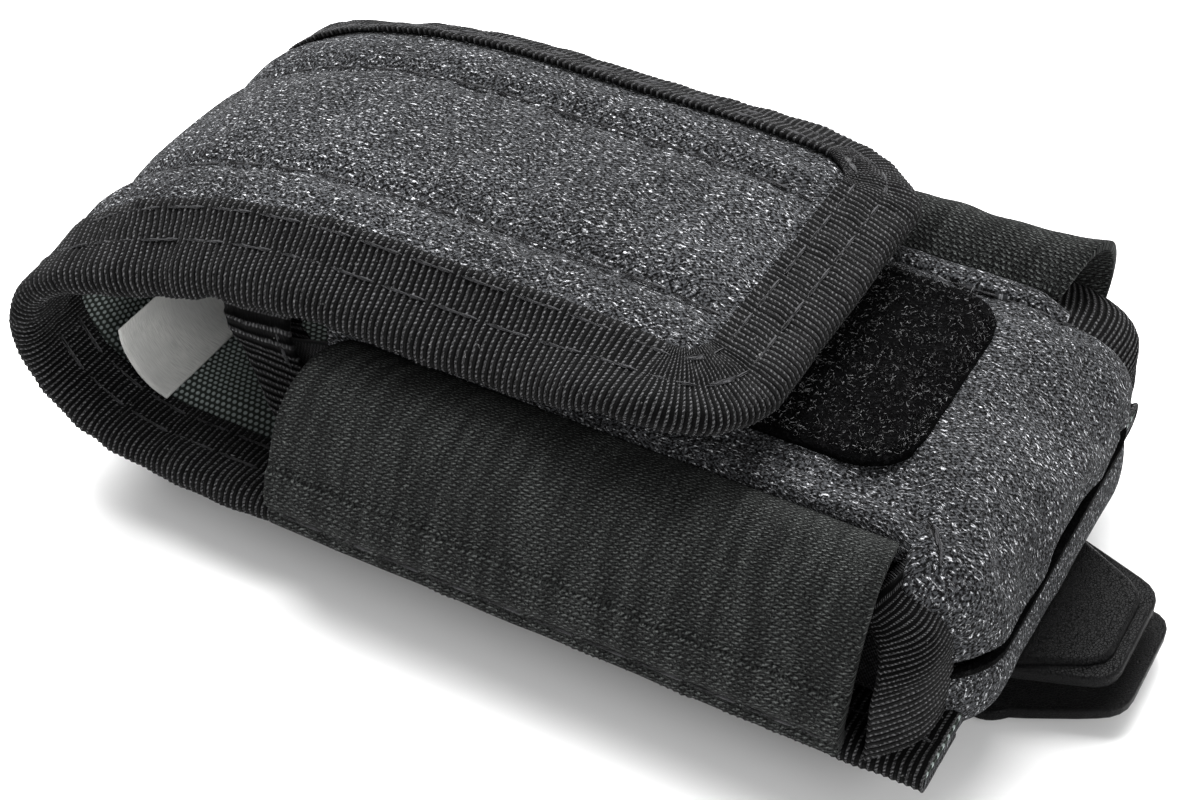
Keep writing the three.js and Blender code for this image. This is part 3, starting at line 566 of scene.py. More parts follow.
def make_lint_group():
    """Loose pale lint and soft broad unevenness, for any cloth."""
    tree, n, given, out = node_group(
        "lint", [("Place", "NodeSocketVector", None), ("Amount", "NodeSocketFloat", 0.2)],
        [("Lint", "NodeSocketFloat"), ("Uneven", "NodeSocketFloat")])
    specks = n.noise(given.outputs["Place"], 1400.0, 2.0, 0.6, 0.6)
    sparse = n.noise(given.outputs["Place"], 260.0, 1.0)
    lint = n.math("MULTIPLY", n.ramp(specks, 0.68, 0.78), n.ramp(sparse, 0.5, 0.62))
    uneven = n.ramp(n.noise(given.outputs["Place"], 55.0, 3.0), 0.3, 0.7, 0.82, 1.12)
    tree.links.new(n.math("MULTIPLY", lint, given.outputs["Amount"]), out.inputs["Lint"])
    tree.links.new(uneven, out.inputs["Uneven"])
    return tree


YARN = make_yarn_group()
RIBS = make_rib_group()
TWILL = make_twill_group()
LINT = make_lint_group()


def new_material(name):
    material = bpy.data.materials.new(name)
    material.use_nodes = True
    n = Nodes(material.node_tree)
    shader = material.node_tree.nodes["Principled BSDF"]
    uv = n.add("ShaderNodeUVMap", uv_map="cloth").outputs["UV"]
    place = n.add("ShaderNodeTexCoord").outputs["Object"]
    return material, n, shader, uv, place


def bumped(n, shader, height, distance):
    bump = n.add("ShaderNodeBump", inputs={"Height": height, "Distance": distance, "Strength": 1.0})
    n.tree.links.new(bump.outputs["Normal"], shader.inputs["Normal"])


def shaded(n, shader, color, roughness=0.9, sheen=0.0):
    if isinstance(color, bpy.types.NodeSocket):
        n.tree.links.new(color, shader.inputs["Base Color"])
    else:
        shader.inputs["Base Color"].default_value = color
    if isinstance(roughness, bpy.types.NodeSocket):
        n.tree.links.new(roughness, shader.inputs["Roughness"])
    else:
        shader.inputs["Roughness"].default_value = roughness
    shader.inputs["Sheen Weight"].default_value = sheen
    shader.inputs["Sheen Roughness"].default_value = 0.6
    shader.inputs["Specular IOR Level"].default_value = CLOTH_SHINE


def heather_material():
    material, n, shader, uv, place = new_material("heather_cloth")
    yarn = n.place(YARN, Cloth=uv)
    lint = n.place(LINT, Place=place, Amount=0.3)
    ground = n.blend(yarn.outputs["Shade"], (0.003, 0.003, 0.0033, 1), (0.05, 0.052, 0.056, 1))
    color = n.blend(yarn.outputs["Pale"], ground, (0.74, 0.75, 0.78, 1))
    color = n.blend(lint.outputs["Lint"], color, (0.7, 0.7, 0.7, 1))
    shaded(n, shader, n.uneven(color, lint), 0.92, 0.03)
    bumped(n, shader, yarn.outputs["Height"], 0.00042)
    return material


def tape_material(name="ribbed_tape", pitch=RIB_PITCH, light=0.13):
    material, n, shader, uv, place = new_material(name)
    ribs = n.place(RIBS, Cloth=uv, Pitch=pitch, Thread=RIB_THREAD)
    lint = n.place(LINT, Place=place, Amount=0.35)
    color = n.blend(ribs.outputs["Light"], (0.001, 0.001, 0.0011, 1), (light, light, light * 1.03, 1))
    color = n.blend(lint.outputs["Lint"], color, (0.45, 0.45, 0.45, 1))
    shaded(n, shader, color, 0.85, 0.02)
    bumped(n, shader, ribs.outputs["Height"], 0.0004)
    return material


def elastic_material():
    material, n, shader, uv, place = new_material("elastic_webbing")
    twill = n.place(TWILL, Cloth=uv, Row=0.58, Dash=0.95)
    lint = n.place(LINT, Place=place, Amount=0.3)
    color = n.blend(twill.outputs["Light"], (0.0006, 0.0007, 0.0007, 1), (0.1, 0.106, 0.103, 1))
    color = n.blend(lint.outputs["Lint"], color, (0.4, 0.42, 0.4, 1))
    shaded(n, shader, color, 0.85, 0.02)
    bumped(n, shader, twill.outputs["Height"], 0.0004)
    return material


def side_cloth_material():
    """Plain black cloth of the side walls."""
    material, n, shader, uv, place = new_material("side_wall_cloth")
    pitch = 0.5
    parts = n.add("ShaderNodeSeparateXYZ", inputs={0: uv})
    warp = n.math("SINE", n.math("MULTIPLY", parts.outputs[0], 2 * math.pi / pitch))
    weft = n.math("SINE", n.math("MULTIPLY", parts.outputs[1], 2 * math.pi / pitch))
    weave = n.math("MULTIPLY", warp, weft)
    lint = n.place(LINT, Place=place, Amount=0.3)
    color = n.blend(n.ramp(weave, -0.4, 0.9), (0.006, 0.006, 0.0065, 1), (0.05, 0.051, 0.053, 1))
    color = n.blend(lint.outputs["Lint"], color, (0.4, 0.4, 0.4, 1))
    shaded(n, shader, color, 0.88, 0.1)
    bumped(n, shader, weave, 0.00008)
    return material


def lining_material():
    """Coated lining: small pale rounded cells in offset rows on a dark ground."""
    material, n, shader, uv, place = new_material("coated_lining")
    row_pitch = LINING_CELL * 0.866
    parts = n.add("ShaderNodeSeparateXYZ", inputs={0: uv})
    row = n.math("DIVIDE", parts.outputs[1], row_pitch)
    shift = n.math("MULTIPLY", n.math("MODULO", n.math("FLOOR", row), 2.0), 0.5)
    column = n.math("ADD", n.math("DIVIDE", parts.outputs[0], LINING_CELL), shift)
    dx = n.math("SUBTRACT", n.math("FRACT", column), 0.5)
    dy = n.math("SUBTRACT", n.math("FRACT", row), 0.5)
    reach = n.math("SQRT", n.math("ADD", n.math("MULTIPLY", dx, dx), n.math("MULTIPLY", dy, dy)))
    dot = n.ramp(reach, 0.42, 0.24)
    lint = n.place(LINT, Place=place, Amount=0.15)
    color = n.blend(dot, (0.03, 0.036, 0.032, 1), (0.3, 0.34, 0.33, 1))
    shaded(n, shader, n.uneven(color, lint), n.ramp(dot, 0.0, 1.0, 0.7, 0.42))
    bumped(n, shader, dot, 0.00012)
    return material


def pile_material(name, dark, pale):
    material, n, shader, _, place = new_material(name)
    loops = n.noise(place, 1500.0, 2.0, 0.65, 1.2)
    clumps = n.noise(place, 240.0, 2.0, 0.6)
    mask = n.math("MULTIPLY", n.ramp(loops, 0.46, 0.72), n.ramp(clumps, 0.3, 0.7, 0.35, 1.0))
    shaded(n, shader, n.blend(mask, dark, pale), 0.95)
    bumped(n, shader, n.math("ADD", loops, n.math("MULTIPLY", clumps, 1.5)), 0.0005)
    return material


def fibre_material():
    """Curled hairs of the loop patch, most of them black and some paler."""
    material, n, shader, _, place = new_material("loop_hairs")
    paler = n.ramp(n.noise(place, 2200.0, 2.0, 0.6), 0.5, 0.66)
    shaded(n, shader, n.blend(paler, (0.001, 0.001, 0.0011, 1), (0.24, 0.24, 0.245, 1)), 0.7)
    return material


def thread_material():
    material, n, shader, _, place = new_material("sewing_thread")
    twist = n.noise(place, 2600.0, 1.0, 0.5, 0.4)
    shaded(n, shader, n.blend(twist, (0.012, 0.012, 0.013, 1), (0.06, 0.06, 0.064, 1)), 0.55, 0.1)
    bumped(n, shader, twist, 0.0001)
    return material


def satin_material():
    material, n, shader, uv, _ = new_material("label_satin")
    threads = n.noise(n.stretch(uv, 0.5, 9.0), 1.0, 2.0)
    broad = n.noise(uv, 0.12, 2.0)
    color = n.blend(n.ramp(broad, 0.3, 0.7), (0.4, 0.4, 0.39, 1), (0.52, 0.52, 0.5, 1))
    shaded(n, shader, n.blend(n.ramp(threads, 0.35, 0.6), (0.36, 0.36, 0.35, 1), color),
           n.ramp(threads, 0.3, 0.7, 0.4, 0.6), 0.2)
    bumped(n, shader, threads, 0.00005)
    return material


def moulded_material():
    """Black moulded plastic with a fine leather grain, worn paler where edges rub."""
    material, n, shader, _, place = new_material("grained_plastic")
    pores = n.add("ShaderNodeTexVoronoi", feature="DISTANCE_TO_EDGE",
                  inputs={"Vector": place, "Scale": 2600.0, "Randomness": 0.95}).outputs["Distance"]
    cracks = n.ramp(pores, 0.0, 0.12)
    fine = n.noise(place, 3600.0, 3.0, 0.6)
    scuffs = n.noise(n.stretch(place, 60, 500, 200), 1.0, 3.0, 0.6)
    rubbed = n.ramp(scuffs, 0.64, 0.78, 0.0, 0.5)
    color = n.blend(cracks, (0.0008, 0.0008, 0.0009, 1), (0.0045, 0.0045, 0.0048, 1))
    color = n.blend(rubbed, color, (0.025, 0.025, 0.026, 1))
    shaded(n, shader, color, n.ramp(n.math("ADD", fine, rubbed), 0.3, 1.0, 0.42, 0.62))
    shader.inputs["Specular IOR Level"].default_value = PLASTIC_SHINE
    height = n.math("ADD", n.math("MULTIPLY", cracks, 0.8), n.math("MULTIPLY", fine, 0.3))
    bumped(n, shader, height, 0.00014)
    return material


HEATHER = heather_material()
TAPE = tape_material()
WIDE_TAPE = tape_material("corner_tape_ribs", CORNER_RIB, 0.13)
ELASTIC = elastic_material()
SIDE_CLOTH = side_cloth_material()
WEBBING = tape_material("keeper_webbing", KEEPER_RIB, 0.09)
LINING = lining_material()
PILE = pile_material("loop_pile", (0.0006, 0.0006, 0.0007, 1), (0.006, 0.006, 0.0063, 1))
FIBRES = fibre_material()
HOOKS = pile_material("hook_tape", (0.004, 0.004, 0.004, 1), (0.03, 0.03, 0.03, 1))
THREAD = thread_material()
SATIN = satin_material()
MOULDED = moulded_material()


# ---------- how the strip's pieces bend ----------
def bend_low(piece):
    """Bends over the lower fold line, between the pouch and the spine of the fold."""
    start = on_strip(AT_HINGE - 13, 0, 2) * MM
    end = on_strip(AT_MID - 2.5, 0, 2) * MM
    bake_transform(piece, "pouch", "flap_spine", start=tuple(start), end=tuple(end))


def bend_high(piece):
    """Bends over the upper fold line, between the spine and the flap."""
    start = on_strip(AT_MID + 4, 0, 2) * MM
    end = on_strip(AT_CREASE + 15, 0, 2) * MM
    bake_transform(piece, "flap_spine", "flap_front", start=tuple(start), end=tuple(end))


LOWER = (0.0, AT_MID)
UPPER = (AT_MID, AT_TIP)
HALVES = (("back", LOWER, bend_low), ("flap", UPPER, bend_high))


def pad_depth(s, across, level):
    """Depth of the padded strip's face (level 0) and of its underside (level 1)."""
    press = strip_press(s, across)
    if level > 0.5:
        return mix(PADDED - 0.75, TAPED - 1.85, press)
    seam = ease(s, AT_MID + 2, AT_MID + 9)
    groove = ridge(abs(across), CHANNEL_HALF_WIDTH, GROOVE_WIDTH) * seam * GROOVE_DEPTH
    crown = PAD_CROWN * (1 - ridge(abs(across), CHANNEL_HALF_WIDTH, 3.5) * seam)
    ripple = 0.14 * wobble(s, across, 3.0, 7.0) + 0.1 * wobble(s * 1.4, across * 0.6, 9.0, 3.5)
    return (1 - press) * (0.35 - crown + groove + ripple) + press * (0.75 + 0.1 * ripple)


def cut_half(start, end):
    """How one half of the strip is cut: its length, and set_out(u, v) giving (s, across)."""
    last = min(end, AT_TIP - TAPE_FOOT)

    def set_out(u, v):
        s = mix(start, last, u)
        return s, mix(-1, 1, v) * strip_half_width(s, TAPE_FOOT)
    return last - start, set_out


def strip_pads():
    """The padded heather strip in two halves, each blown up between its seams."""
    shells = {"back": ["back_shell", "back_foam"],
              "flap": ["flap_shell", "flap_foam", "spine_shell", "spine_foam"]}
    for name, (start, end), bend in HALVES:
        length, set_out = cut_half(start, end)

        def place(u, v, h):
            s, t = set_out(u, v)
            return on_strip(s, t, pad_depth(s, t, h))

        def is_sewn(u, v):
            s, t = set_out(u, v)
            seam = abs(abs(t) - CHANNEL_HALF_WIDTH) < 0.9 and s > AT_MID + 3
            ends = abs(s - start) < 2.2 or s > AT_TIP - TAPE_WIDTH - 0.5
            joins = name == "back" and abs(s - end) < 2.2
            return seam or ends or joins or abs(t) > strip_half_width(s, TAPE_WIDTH) - 1

        pad = cloth_panel(f"{name}_pad", round(length / PAD_STEP), 50, place, set_out)
        inflate(pad, is_sewn, 2.5, 1.3)
        dress(pad, HEATHER)
        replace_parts(pad, *shells[name])
        bend(pad)


def strip_linings():
    backings = {"back": ["back_lining"], "flap": ["flap_lining", "spine_lining"]}
    for name, (start, end), bend in HALVES:
        length, set_out = cut_half(start, end)

        def place(u, v, h):
            s, t = set_out(u, v)
            press = strip_press(s, t)
            sag = 0.12 * wobble(s, t, 20, 9) * (1 - press)
            return on_strip(s, t, mix(PADDED - 0.7, TAPED - 1.8, press) + sag + h * LINING_THICK)

        lining = cloth_panel(f"{name}_lining_cloth", round(length / LINING_STEP), 36, place, set_out)
        dress(lining, LINING)
        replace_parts(lining, *backings[name])
        bend(lining)


# ---------- binding tape round the strip's edge ----------
STRAIGHT = AT_TIP - FLAP_CORNER
ARC = QUARTER * FLAP_CORNER
TIP_STRAIGHT = 2 * (FLAP_HALF_WIDTH - FLAP_CORNER)
EDGE_LENGTH = 2 * STRAIGHT + 2 * ARC + TIP_STRAIGHT
FOLD_RADIUS = TAPED / 2


def tape_edge(q):
    """(s, across, outward s, outward across) of the strip's edge, from the near side's closed end
    round the flap's tip to the far side's closed end."""
    if q > EDGE_LENGTH / 2:
        s, across, out_s, out_across = tape_edge(EDGE_LENGTH - q)
        return s, -across, out_s, -out_across
    if q < STRAIGHT:
        return q, -strip_half_width(q), 0.0, -1.0
    if q < STRAIGHT + ARC:
        angle = (q - STRAIGHT) / FLAP_CORNER
        centre = FLAP_HALF_WIDTH - FLAP_CORNER
        return (STRAIGHT + FLAP_CORNER * math.sin(angle), -centre - FLAP_CORNER * math.cos(angle),
                math.sin(angle), -math.cos(angle))
    return AT_TIP, -(FLAP_HALF_WIDTH - FLAP_CORNER) + (q - STRAIGHT - ARC), 1.0, 0.0


def tape_profile(v):
    """(inset from the edge, depth, outward inset, outward depth) round the folded tape, from the
    inner border on the face, over the edge, to the inner border underneath."""
    flat = TAPE_WIDTH - FOLD_RADIUS
    turn = math.pi * FOLD_RADIUS
    run = v * (2 * flat + turn)
    if run < flat:
        return TAPE_WIDTH - run, 0.0, 0.0, -1.0
    if run < flat + turn:
        angle = (run - flat) / FOLD_RADIUS
        return (FOLD_RADIUS * (1 - math.sin(angle)), FOLD_RADIUS * (1 - math.cos(angle)),
                -math.sin(angle), -math.cos(angle))
    return FOLD_RADIUS + run - flat - turn, TAPED, 0.0, 1.0


TAPE_RUN = 2 * (TAPE_WIDTH - FOLD_RADIUS) + math.pi * FOLD_RADIUS
STITCH_INSETS = (TAPE_WIDTH - 1.6, TAPE_WIDTH - 5.4)


def folded_tape(name, start, end):
    def place(u, v, h):
        q = mix(start, end, u)
        s, across, out_s, out_across = tape_edge(q)
        inset, depth, away_inset, away_depth = tape_profile(v)
        rib = RIB_RELIEF * math.cos(2 * math.pi * q / RIB_PITCH) * (1 - h)
        pucker = 0.22 * wobble(q, v * 8, 4, 5) + 0.12 * wobble(q, v * 20, 8, 2.5)
        seam = sum(ridge(inset, row, 0.5) for row in STITCH_INSETS) * 0.22
        lift = rib + (pucker - seam) * (1 - h) - h * TAPE_THICK + 0.12
        inset += away_inset * lift
        depth += away_depth * lift
        wave = 0.18 * wobble(q, 0, 30, 11)
        return on_strip(s - out_s * (inset - wave), across - out_across * (inset - wave), depth)

    along = round((end - start) / RIB_PITCH * STEPS_PER_RIB)
    tape = cloth_panel(name, along, 22, place, lambda u, v: (mix(start, end, u), v * TAPE_RUN))
    return dress(tape, TAPE)


def strip_tapes():
    spans = {"back_tape_near": (0.0, AT_MID), "flap_tape": (AT_MID, EDGE_LENGTH - AT_MID),
             "back_tape_far": (EDGE_LENGTH - AT_MID, EDGE_LENGTH)}
    stands_for = {"back_tape_near": ["back_binding_near"], "back_tape_far": ["back_binding_far"],
                  "flap_tape": ["flap_binding", "spine_binding_near", "spine_binding_far"]}
    for name, (start, end) in spans.items():
        tape = folded_tape(name, start, end)
        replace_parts(tape, *stands_for[name])
        (bend_high if name == "flap_tape" else bend_low)(tape)


def edge_path(start, end, inset, depth):
    """A path along the strip's edge, for stitch_row."""
    def path(share):
        s, across, out_s, out_across = tape_edge(mix(start, end, share))
        s, across = s - out_s * inset, across - out_across * inset
        point = on_strip(s, across, depth)
        return point, (point - on_strip(s, across, depth + 1)).normalized()
    return path


def strip_stitching():
    """Two rows through the tape all round, and the two seams that make the flap's channels."""
    rows = [edge_path(AT_MID, EDGE_LENGTH - AT_MID, inset, -0.02) for inset in STITCH_INSETS]
    seam_start, seam_end = AT_MID + 4, AT_TIP - TAPE_WIDTH
    for sign in (-1, 1):
        across = sign * CHANNEL_HALF_WIDTH
        rows.append(strip_path((seam_start, across), (seam_end, across), 0.72))
    flap = dress(stitches("flap_stitches", *rows), THREAD)
    bend_high(flap)
    rows = []
    for start, end in ((0, AT_MID), (EDGE_LENGTH - AT_MID, EDGE_LENGTH)):
        for inset in STITCH_INSETS:
            rows += [edge_path(start, end, inset, -0.02), edge_path(start, end, inset, TAPED + 0.02)]
    back = dress(stitches("back_stitches", *rows), THREAD)
    bend_low(back)


# ---------- front ----------
END_ROUND_LENGTH = END_X - FRONT_TURN_X
FRONT_RUN = FRONT_TURN_X - MOUTH_X
END_ARC = math.pi / 4 * (END_ROUND_LENGTH + END_ROUND_HEIGHT)
END_DROP = FRONT_RISE - END_ROUND_HEIGHT - END_SEAM_RISE
FRONT_END = FRONT_RUN + END_ARC + END_DROP


def front_height(x):
    return FRONT_Z - MOUTH_DIP * (1 - ease(x, MOUTH_X, MOUTH_X + MOUTH_DIP_LENGTH))


def front_course(s):
    """(x, z) of the front's crown at a distance from the mouth, over the rounded end and down to its seam."""
    if s <= FRONT_RUN:
        return MOUTH_X + s, front_height(MOUTH_X + s)
    angle = min((s - FRONT_RUN) / END_ARC, 1) * QUARTER
    under = max(s - FRONT_RUN - END_ARC, 0)
    return (FRONT_TURN_X + END_ROUND_LENGTH * math.sin(angle),
            FRONT_Z - END_ROUND_HEIGHT * (1 - math.cos(angle)) - under)


def on_front(s, across, depth):
    """A point of the front: from the mouth, across from its middle line, depth under its crown."""
    x, z = front_course(s)
    x0, z0 = front_course(max(s - 0.4, 0))
    x1, z1 = front_course(s + 0.4)
    length = math.hypot(x1 - x0, z1 - z0)
    return Vector((x + (z1 - z0) / length * depth, across, z - (x1 - x0) / length * depth))


def front_half_width(s, side):
    """Narrow between the lips, then wider round the end; on the near side (side below 0) the cloth
    turns down over the corner as a wide collar first."""
    plain = mix(FRONT_HALF_WIDTH, FRONT_END_HALF_WIDTH, ease(s, FRONT_RUN, FRONT_END - 3))
    if side > 0:
        return plain
    wide = mix(FRONT_HALF_WIDTH, COLLAR_HALF_WIDTH, ease(s, FRONT_RUN - 0.4, FRONT_RUN + 3.8))
    return mix(wide, FRONT_END_HALF_WIDTH, ease(s, FRONT_RUN + 8, FRONT_END - 3))


def front_press(s):
    """1 under the mouth's tape, 0 past it."""
    return 1 - ease(s, MOUTH_TAPE_WIDTH, MOUTH_TAPE_WIDTH + 7)


def front_fall(s, across):
    """How far the front's sides fall away from its crown."""
    half = front_half_width(s, across)
    edge = max(abs(across) - (half - 7), 0) / 7
    round_end = ease(s, FRONT_RUN - 2, FRONT_RUN + 4)
    return edge ** 2 * mix(0.7, 1.8 if across > 0 else 4.2, round_end)


def collar_line(s):
    """How far from the middle line the front's side seams run."""
    return FRONT_HALF_WIDTH - 0.6 + 5.2 * ease(s, FRONT_RUN + 2, FRONT_RUN + 8)


def build_front():
    def set_out(u, v):
        s = mix(TAPE_FOOT, FRONT_END, u)
        share = mix(-1, 1, v)
        return s, share * front_half_width(s, share)

    def place(u, v, h):
        s, t = set_out(u, v)
        press = front_press(s)
        seam = ease(s, FRONT_END - 2.4, FRONT_END)
        ripple = 0.22 * wobble(s, t, 40, 10) + 0.1 * wobble(s, t, 44, 4)
        groove = 0.5 * ridge(abs(t), collar_line(s), 0.8) * (1 - ease(s, FRONT_RUN + 6, FRONT_RUN + 9))
        face = mix(0.1 + ripple + groove + front_fall(s, t), 1.05, press) + 2.6 * seam ** 2
        under = mix(PADDED - 0.8, 2.1, press) + front_fall(s, t) * 0.2
        return on_front(s, t, mix(face, max(under, face + 0.7), h))

    pad = cloth_panel("front_pad", 96, 40, place, set_out)

    def is_sewn(u, v):
        s, t = set_out(u, v)
        under_patch = s < 65 and abs(t) < 17.5
        ends = s < MOUTH_TAPE_WIDTH + 1 or s > FRONT_END - 1.2
        return under_patch or ends or abs(t) > front_half_width(s, t) - 0.6

    inflate(pad, is_sewn, 1.6, 0.9)
    dress(pad, HEATHER)
    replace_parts(pad, "front_shell", "front_foam")
    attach(pad, "pouch")

    def collar(sign):
        def path(share):
            s = mix(ELASTIC_START_X - MOUTH_X, FRONT_RUN + 7, share)
            t = sign * collar_line(s)
            point = on_front(s, t, front_fall(s, t) + 0.25)
            return point, (point - on_front(s, t * 0.98, front_fall(s, t) + 2)).normalized()
        return path

    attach(dress(stitches("front_stitches", collar(-1), collar(1)), THREAD), "pouch")

    def place_lining(u, v, h):
        s, t = set_out(u, v)
        t = max(min(t, 22), -22)
        return on_front(s, t, mix(PADDED - 0.7, 2.2, front_press(s)) + front_fall(s, t) * 0.2 + h * 0.5)

    lining = cloth_panel("front_lining_cloth", 60, 16, place_lining, set_out)
    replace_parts(dress(lining, LINING), "front_lining")
    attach(lining, "pouch")


def build_lips():
    """The folded, top-stitched edges of the front over the elastic's upper edge."""
    start, end = ELASTIC_START_X + 1.5, FRONT_TURN_X + 2.5
    for side, sign in (("near", -1), ("far", 1)):
        def place(u, v, h):
            x = mix(start, end, u)
            s = x - MOUTH_X
            ends = ease(x, end - 4.5, end)
            bead = math.sin(min(v / 0.7, 1) * math.pi) ** 0.7 - 1.6 * ends
            swell = 0.16 * wobble(x, v, sign * 7, 5) + 0.06 * wobble(x, v * 3, sign, 2)
            inner = FRONT_HALF_WIDTH - 0.5
            outwards = math.sin(min(v / 0.62, 1) * QUARTER)
            y = mix(inner, FRONT_HALF_WIDTH + 0.3 + LIP_WIDTH, outwards)
            base = on_front(s, 0, 0)
            top = base.z - 0.9 * outwards ** 2 - 0.55 + 0.95 * bead + swell
            drop = 3.2 * (1 - math.cos(max(v - 0.3, 0) / 0.7 * QUARTER))
            return Vector((base.x, sign * y, mix(top - drop, top - LIP_DEPTH, h)))

        lip = cloth_panel(f"lip_fold_{side}", 110, 16, place,
                          lambda u, v: (mix(start, end, u), FRONT_HALF_WIDTH + v * 7.5))
        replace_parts(dress(lip, HEATHER), f"lip_{side}")
        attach(lip, "pouch")


# ---------- sides ----------
def elastic_curve(u, sign, v):
    """(x, y, z, normal y, normal z) on the bulging elastic: u from the mouth's side to the closed end's,
    v 0 at the lip and 1 at its foot, which wraps the tape's edge."""
    foot = BACK_Z + TAPED
    start = ELASTIC_START_X + 5.5 * (1 - v) ** 2
    end = ELASTIC_START_X + ELASTIC_LENGTH + (3.6 if sign > 0 else 0.8) * math.sin(v * math.pi) ** 0.8
    x = mix(start, end, u)
    top = front_height(x) - 1.6
    lift = FAR_RIDGE * ease(x, 9, 27) if sign > 0 else 0
    points = [(FRONT_HALF_WIDTH + 3.3, top), (FRONT_HALF_WIDTH + 11, top + 4 + lift),
              (37.9, foot + 13 + lift / 2), (35.9, foot - 1.3)]
    keep = 1 - v
    weights = (keep ** 3, 3 * keep ** 2 * v, 3 * keep * v ** 2, v ** 3)
    y = sum(w * p[0] for w, p in zip(weights, points))
    z = sum(w * p[1] for w, p in zip(weights, points))
    slopes = [(b[0] - a[0], b[1] - a[1]) for a, b in zip(points, points[1:])]
    pulls = (keep ** 2, 2 * keep * v, v ** 2)
    dy = sum(w * p[0] for w, p in zip(pulls, slopes))
    dz = sum(w * p[1] for w, p in zip(pulls, slopes))
    length = math.hypot(dy, dz)
    return x, y, z, -dz / length, dy / length


def build_elastics():
    for side, sign in (("near", -1), ("far", 1)):
        def place(u, v, h):
            x, y, z, out_y, out_z = elastic_curve(u, sign, v)
            hem = ease(v, HEM - 0.012, HEM + 0.004)
            wave = 0.35 * wobble(x, v * 12, sign * 5, 9) + 0.15 * wobble(x, v * 30, sign * 9, 4)
            wave *= math.sin(min(v * 1.25, 1) * math.pi) ** 0.5 if v < HEM else 0.25
            pucker = 0.3 * ridge(v, HEM - 0.01, 0.03) * wobble(x, 0, sign * 33, 2.6)
            foot_seam = 0.5 * ridge(v, FOOT_SEAM, 0.018)
            roll = 0.5 * ridge(v, 0.885, 0.05)
            slack = 0.8 * ease(u, 0.93, 1) * math.sin(v * math.pi)
            thick = ELASTIC_THICK + HEM_THICK * hem
            lift = wave + pucker + HEM_THICK * hem + roll - foot_seam + slack - h * thick
            return Vector((x, sign * (y + out_y * lift), z + out_z * lift))

        web = cloth_panel(f"elastic_band_{side}", 170, 80, place,
                          lambda u, v: (u * ELASTIC_LENGTH, v * ELASTIC_RUN))
        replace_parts(dress(web, ELASTIC), f"elastic_{side}")
        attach(web, "pouch")

        def foot_row(share):
            x, y, z, out_y, out_z = elastic_curve(mix(0.01, 0.99, share), sign, FOOT_SEAM)
            normal = Vector((0, sign * out_y, out_z))
            return Vector((x, sign * y, z)) + normal * 0.5, normal

        sewn = stitches(f"elastic_stitches_{side}", foot_row, thread=0.4)
        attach(dress(sewn, THREAD), "pouch")


MOUTH_Z = FRONT_Z - MOUTH_DIP - TAPED / 2
BACK_TOP_Z = BACK_Z + PADDED + CLOTH_GAP


def build_gussets():
    end_x = END_X - PADDED - CLOTH_GAP
    foot = BACK_TOP_Z + 0.1
    for side, sign in (("near", -1), ("far", 1)):
        def place(u, v, h):
            top_x = mix(MOUTH_X + TAPE_FOOT + 1, end_x, u)
            roof = mix(front_height(top_x) - PADDED, BACK_Z + 10, ease(top_x, FRONT_TURN_X - 4, end_x + 2))
            z = mix(foot, roof - 0.4, v)
            start_x = MOUTH_X + TAPE_FOOT + (MOUTH_Z - z) * MOUTH_SLOPE
            share = (z - foot) / (MOUTH_Z - MOUTH_SHOULDER - foot)
            y = mix(GUSSET_FOOT_HALF_WIDTH, GUSSET_TOP_HALF_WIDTH, share)
            x = mix(start_x, end_x, u)
            y += 0.5 * wobble(x, z, sign * 3, 14) * math.sin(v * math.pi)
            return Vector((x, sign * (y + (h - 0.5) * 0.8), z))

        wall = cloth_panel(f"side_wall_{side}", 60, 16, place, lambda u, v: (u * 95, v * 15))
        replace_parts(dress(wall, SIDE_CLOTH), f"gusset_{side}")
        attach(wall, "pouch")


def mouth_points():
    """The line round the mouth in the YZ plane, as points close together."""
    foot, top = GUSSET_FOOT_HALF_WIDTH, GUSSET_TOP_HALF_WIDTH
    shoulder = MOUTH_Z - MOUTH_SHOULDER
    base = BACK_TOP_Z + 0.2
    half = [(mix(foot, top, i / 24), mix(base, shoulder, i / 24)) for i in range(24)]
    for i in range(13):
        a = i / 12
        b = 1 - a
        half.append((b * b * top + 2 * a * b * (top - 0.2) + a * a * (FRONT_HALF_WIDTH + 0.3),
                     b * b * shoulder + 2 * a * b * MOUTH_Z + a * a * MOUTH_Z))
    middle = [(mix(FRONT_HALF_WIDTH, 0, i / 20), MOUTH_Z) for i in range(1, 21)]
    near = [(-y, z) for y, z in half + middle]
    return near + [(-y, z) for y, z in reversed(near[:-1])]


